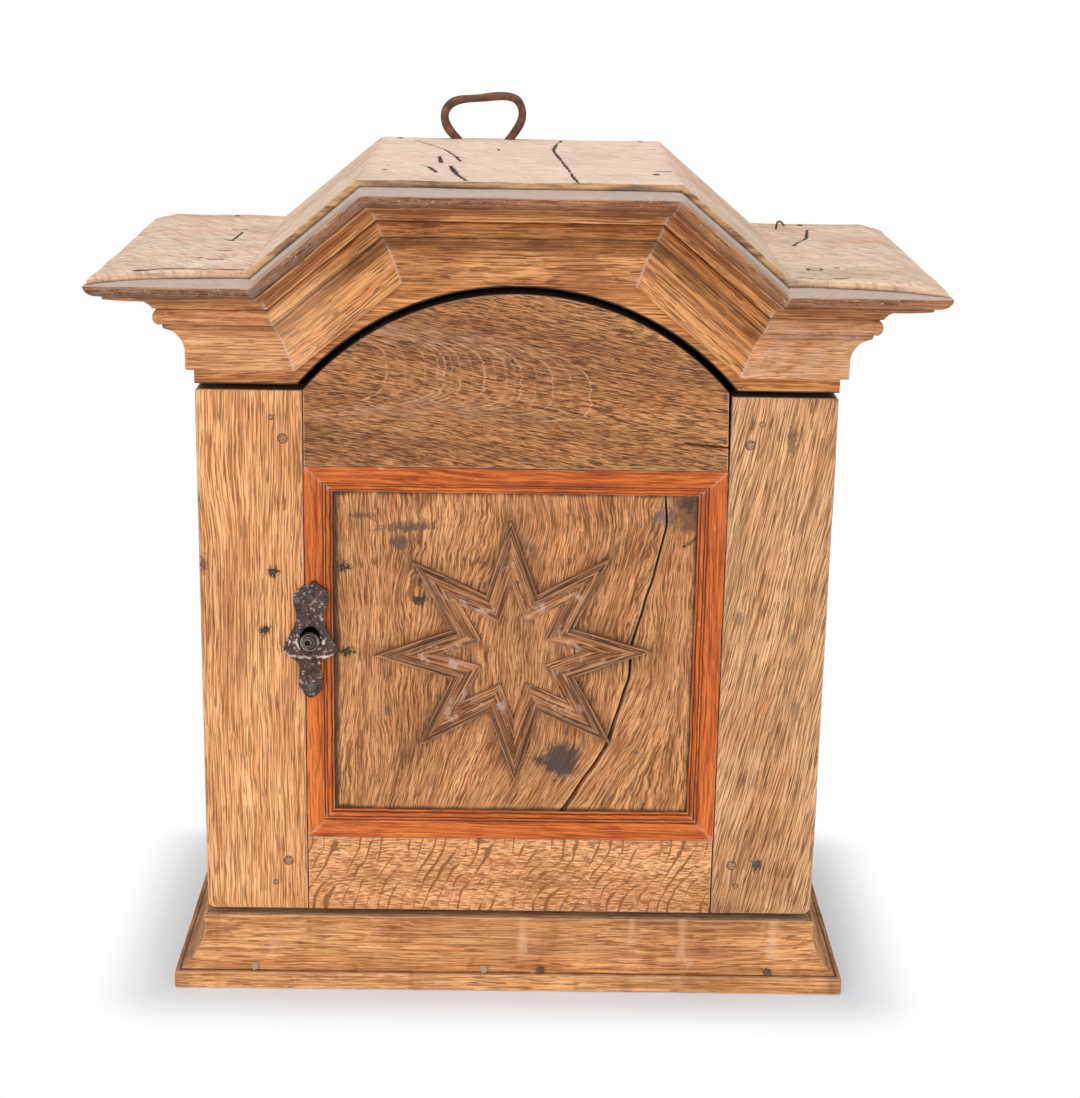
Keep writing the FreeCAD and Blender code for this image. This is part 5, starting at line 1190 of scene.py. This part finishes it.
KEPT = {side_oak: ("left_side", "right_side"), frieze_oak: ("frieze_board",),
        shelf_wood: ("shelf", "bottom_board", "base_rail"),
        back_wood: ("back_board_left", "back_board_right"), middle_back_wood: ("back_board_middle",),
        forged_iron: ("bolt_keeper", "case_leaf_nails", "door_leaf_nails", "hinge_case_leaves",
                      "hinge_door_leaves", "hinge_pins", "lock_bolt", "lock_cover", "lock_plate",
                      "lock_spring"),
        rusty_iron: ("hanger_strap",)}
for finish, nodes in KEPT.items():
    for node in nodes:
        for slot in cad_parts[node].material_slots:
            slot.material = finish.material

# Floor, in metres, and world

FLOOR, FLOOR_COLOUR, WHITE = 6.0, (0.80, 0.86, 0.93, 1), (1, 1, 1, 1)
PLINTH_MIDDLE, PLINTH_REACH = (0, 0.0207, 0), (0.2535, 0.1298, 1)
SHADOW_WIDE, WHITE_BY_PLINTH, WORLD_GLOW = 0.07, 0.25, 0.42
floor_mesh = bpy.data.meshes.new("floor")
floor_corners = [(x * FLOOR, y * FLOOR, 0) for x, y in ((-1, -1), (1, -1), (1, 1), (-1, 1))]
floor_mesh.from_pydata(floor_corners, [], [(0, 1, 2, 3)])
floor = bpy.data.objects.new("floor", floor_mesh)
bpy.context.collection.objects.link(floor)


def pale_floor():
    """Matt pale floor that turns to white, where the camera looks at it, over a band round the plinth."""
    material = bpy.data.materials.new("pale floor")
    f = Nodes(material, "ShaderNodeOutputMaterial")
    away = f.vector("ABSOLUTE", f.vector("SUBTRACT", f.step("TexCoord").outputs["Object"], PLINTH_MIDDLE))
    away = f.vector("LENGTH", f.vector("MAXIMUM", f.vector("SUBTRACT", away, PLINTH_REACH), (0, 0, 0)))
    white_share = f.times(f.between(away, 0.0, SHADOW_WIDE, WHITE_BY_PLINTH, 1.0), f.seen())
    matt, white = f.step("BsdfDiffuse", {0: FLOOR_COLOUR}).outputs[0], f.step("Emission").outputs[0]
    f.show(f.step("MixShader", {0: white_share, 1: matt, 2: white}))
    return material


floor_mesh.materials.append(pale_floor())

world = bpy.data.worlds.new("studio")
bpy.context.scene.world = world
sky = Nodes(world, "ShaderNodeOutputWorld")
glow, backdrop = (sky.step("Background", {0: WHITE, 1: strength}).outputs[0]
                  for strength in (WORLD_GLOW, 1.0))
sky.show(sky.step("MixShader", {0: sky.seen(), 1: glow, 2: backdrop}))

# Lamps and camera, in metres


def softbox(name, spot, aim, size, watts):
    """A square lamp at a spot, facing its aim."""
    lamp = bpy.data.lights.new(name, "AREA")
    lamp.size = size
    lamp.energy = watts
    stand = bpy.data.objects.new(name, lamp)
    stand.location = spot
    stand.rotation_euler = (Vector(aim) - Vector(spot)).to_track_quat("-Z", "Y").to_euler()
    bpy.context.collection.objects.link(stand)


softbox("key light", (-0.9, -2.0, 0.8), (0, 0, 0.4), 1.2, 23)
softbox("fill light", (1.2, -1.8, 0.4), (0, 0, 0.4), 1.4, 15)
softbox("top light", (0, 0.1, 2.4), (0, 0, 0.5), 1.5, 19)

PHOTO_LENS, YAW, PITCH, ROLL = 72.90, radians(0.87), radians(16.32), radians(1.06)
CAMERA_SPOT = (-0.00549, -1.6387, 0.79951)
ahead = Vector((sin(YAW) * cos(PITCH), cos(YAW) * cos(PITCH), -sin(PITCH)))
right = Vector((cos(YAW), -sin(YAW), 0))
above = right.cross(ahead)
across, upward = right * cos(ROLL) + above * sin(ROLL), above * cos(ROLL) - right * sin(ROLL)
camera = bpy.data.objects.new("camera", bpy.data.cameras.new("camera"))
camera.data.lens = PHOTO_LENS
camera.matrix_world = Matrix.Translation(CAMERA_SPOT) @ Matrix((across, upward, -ahead)).transposed().to_4x4()
bpy.context.collection.objects.link(camera)
bpy.context.scene.camera = camera
bpy.context.scene.view_settings.view_transform = "Standard"
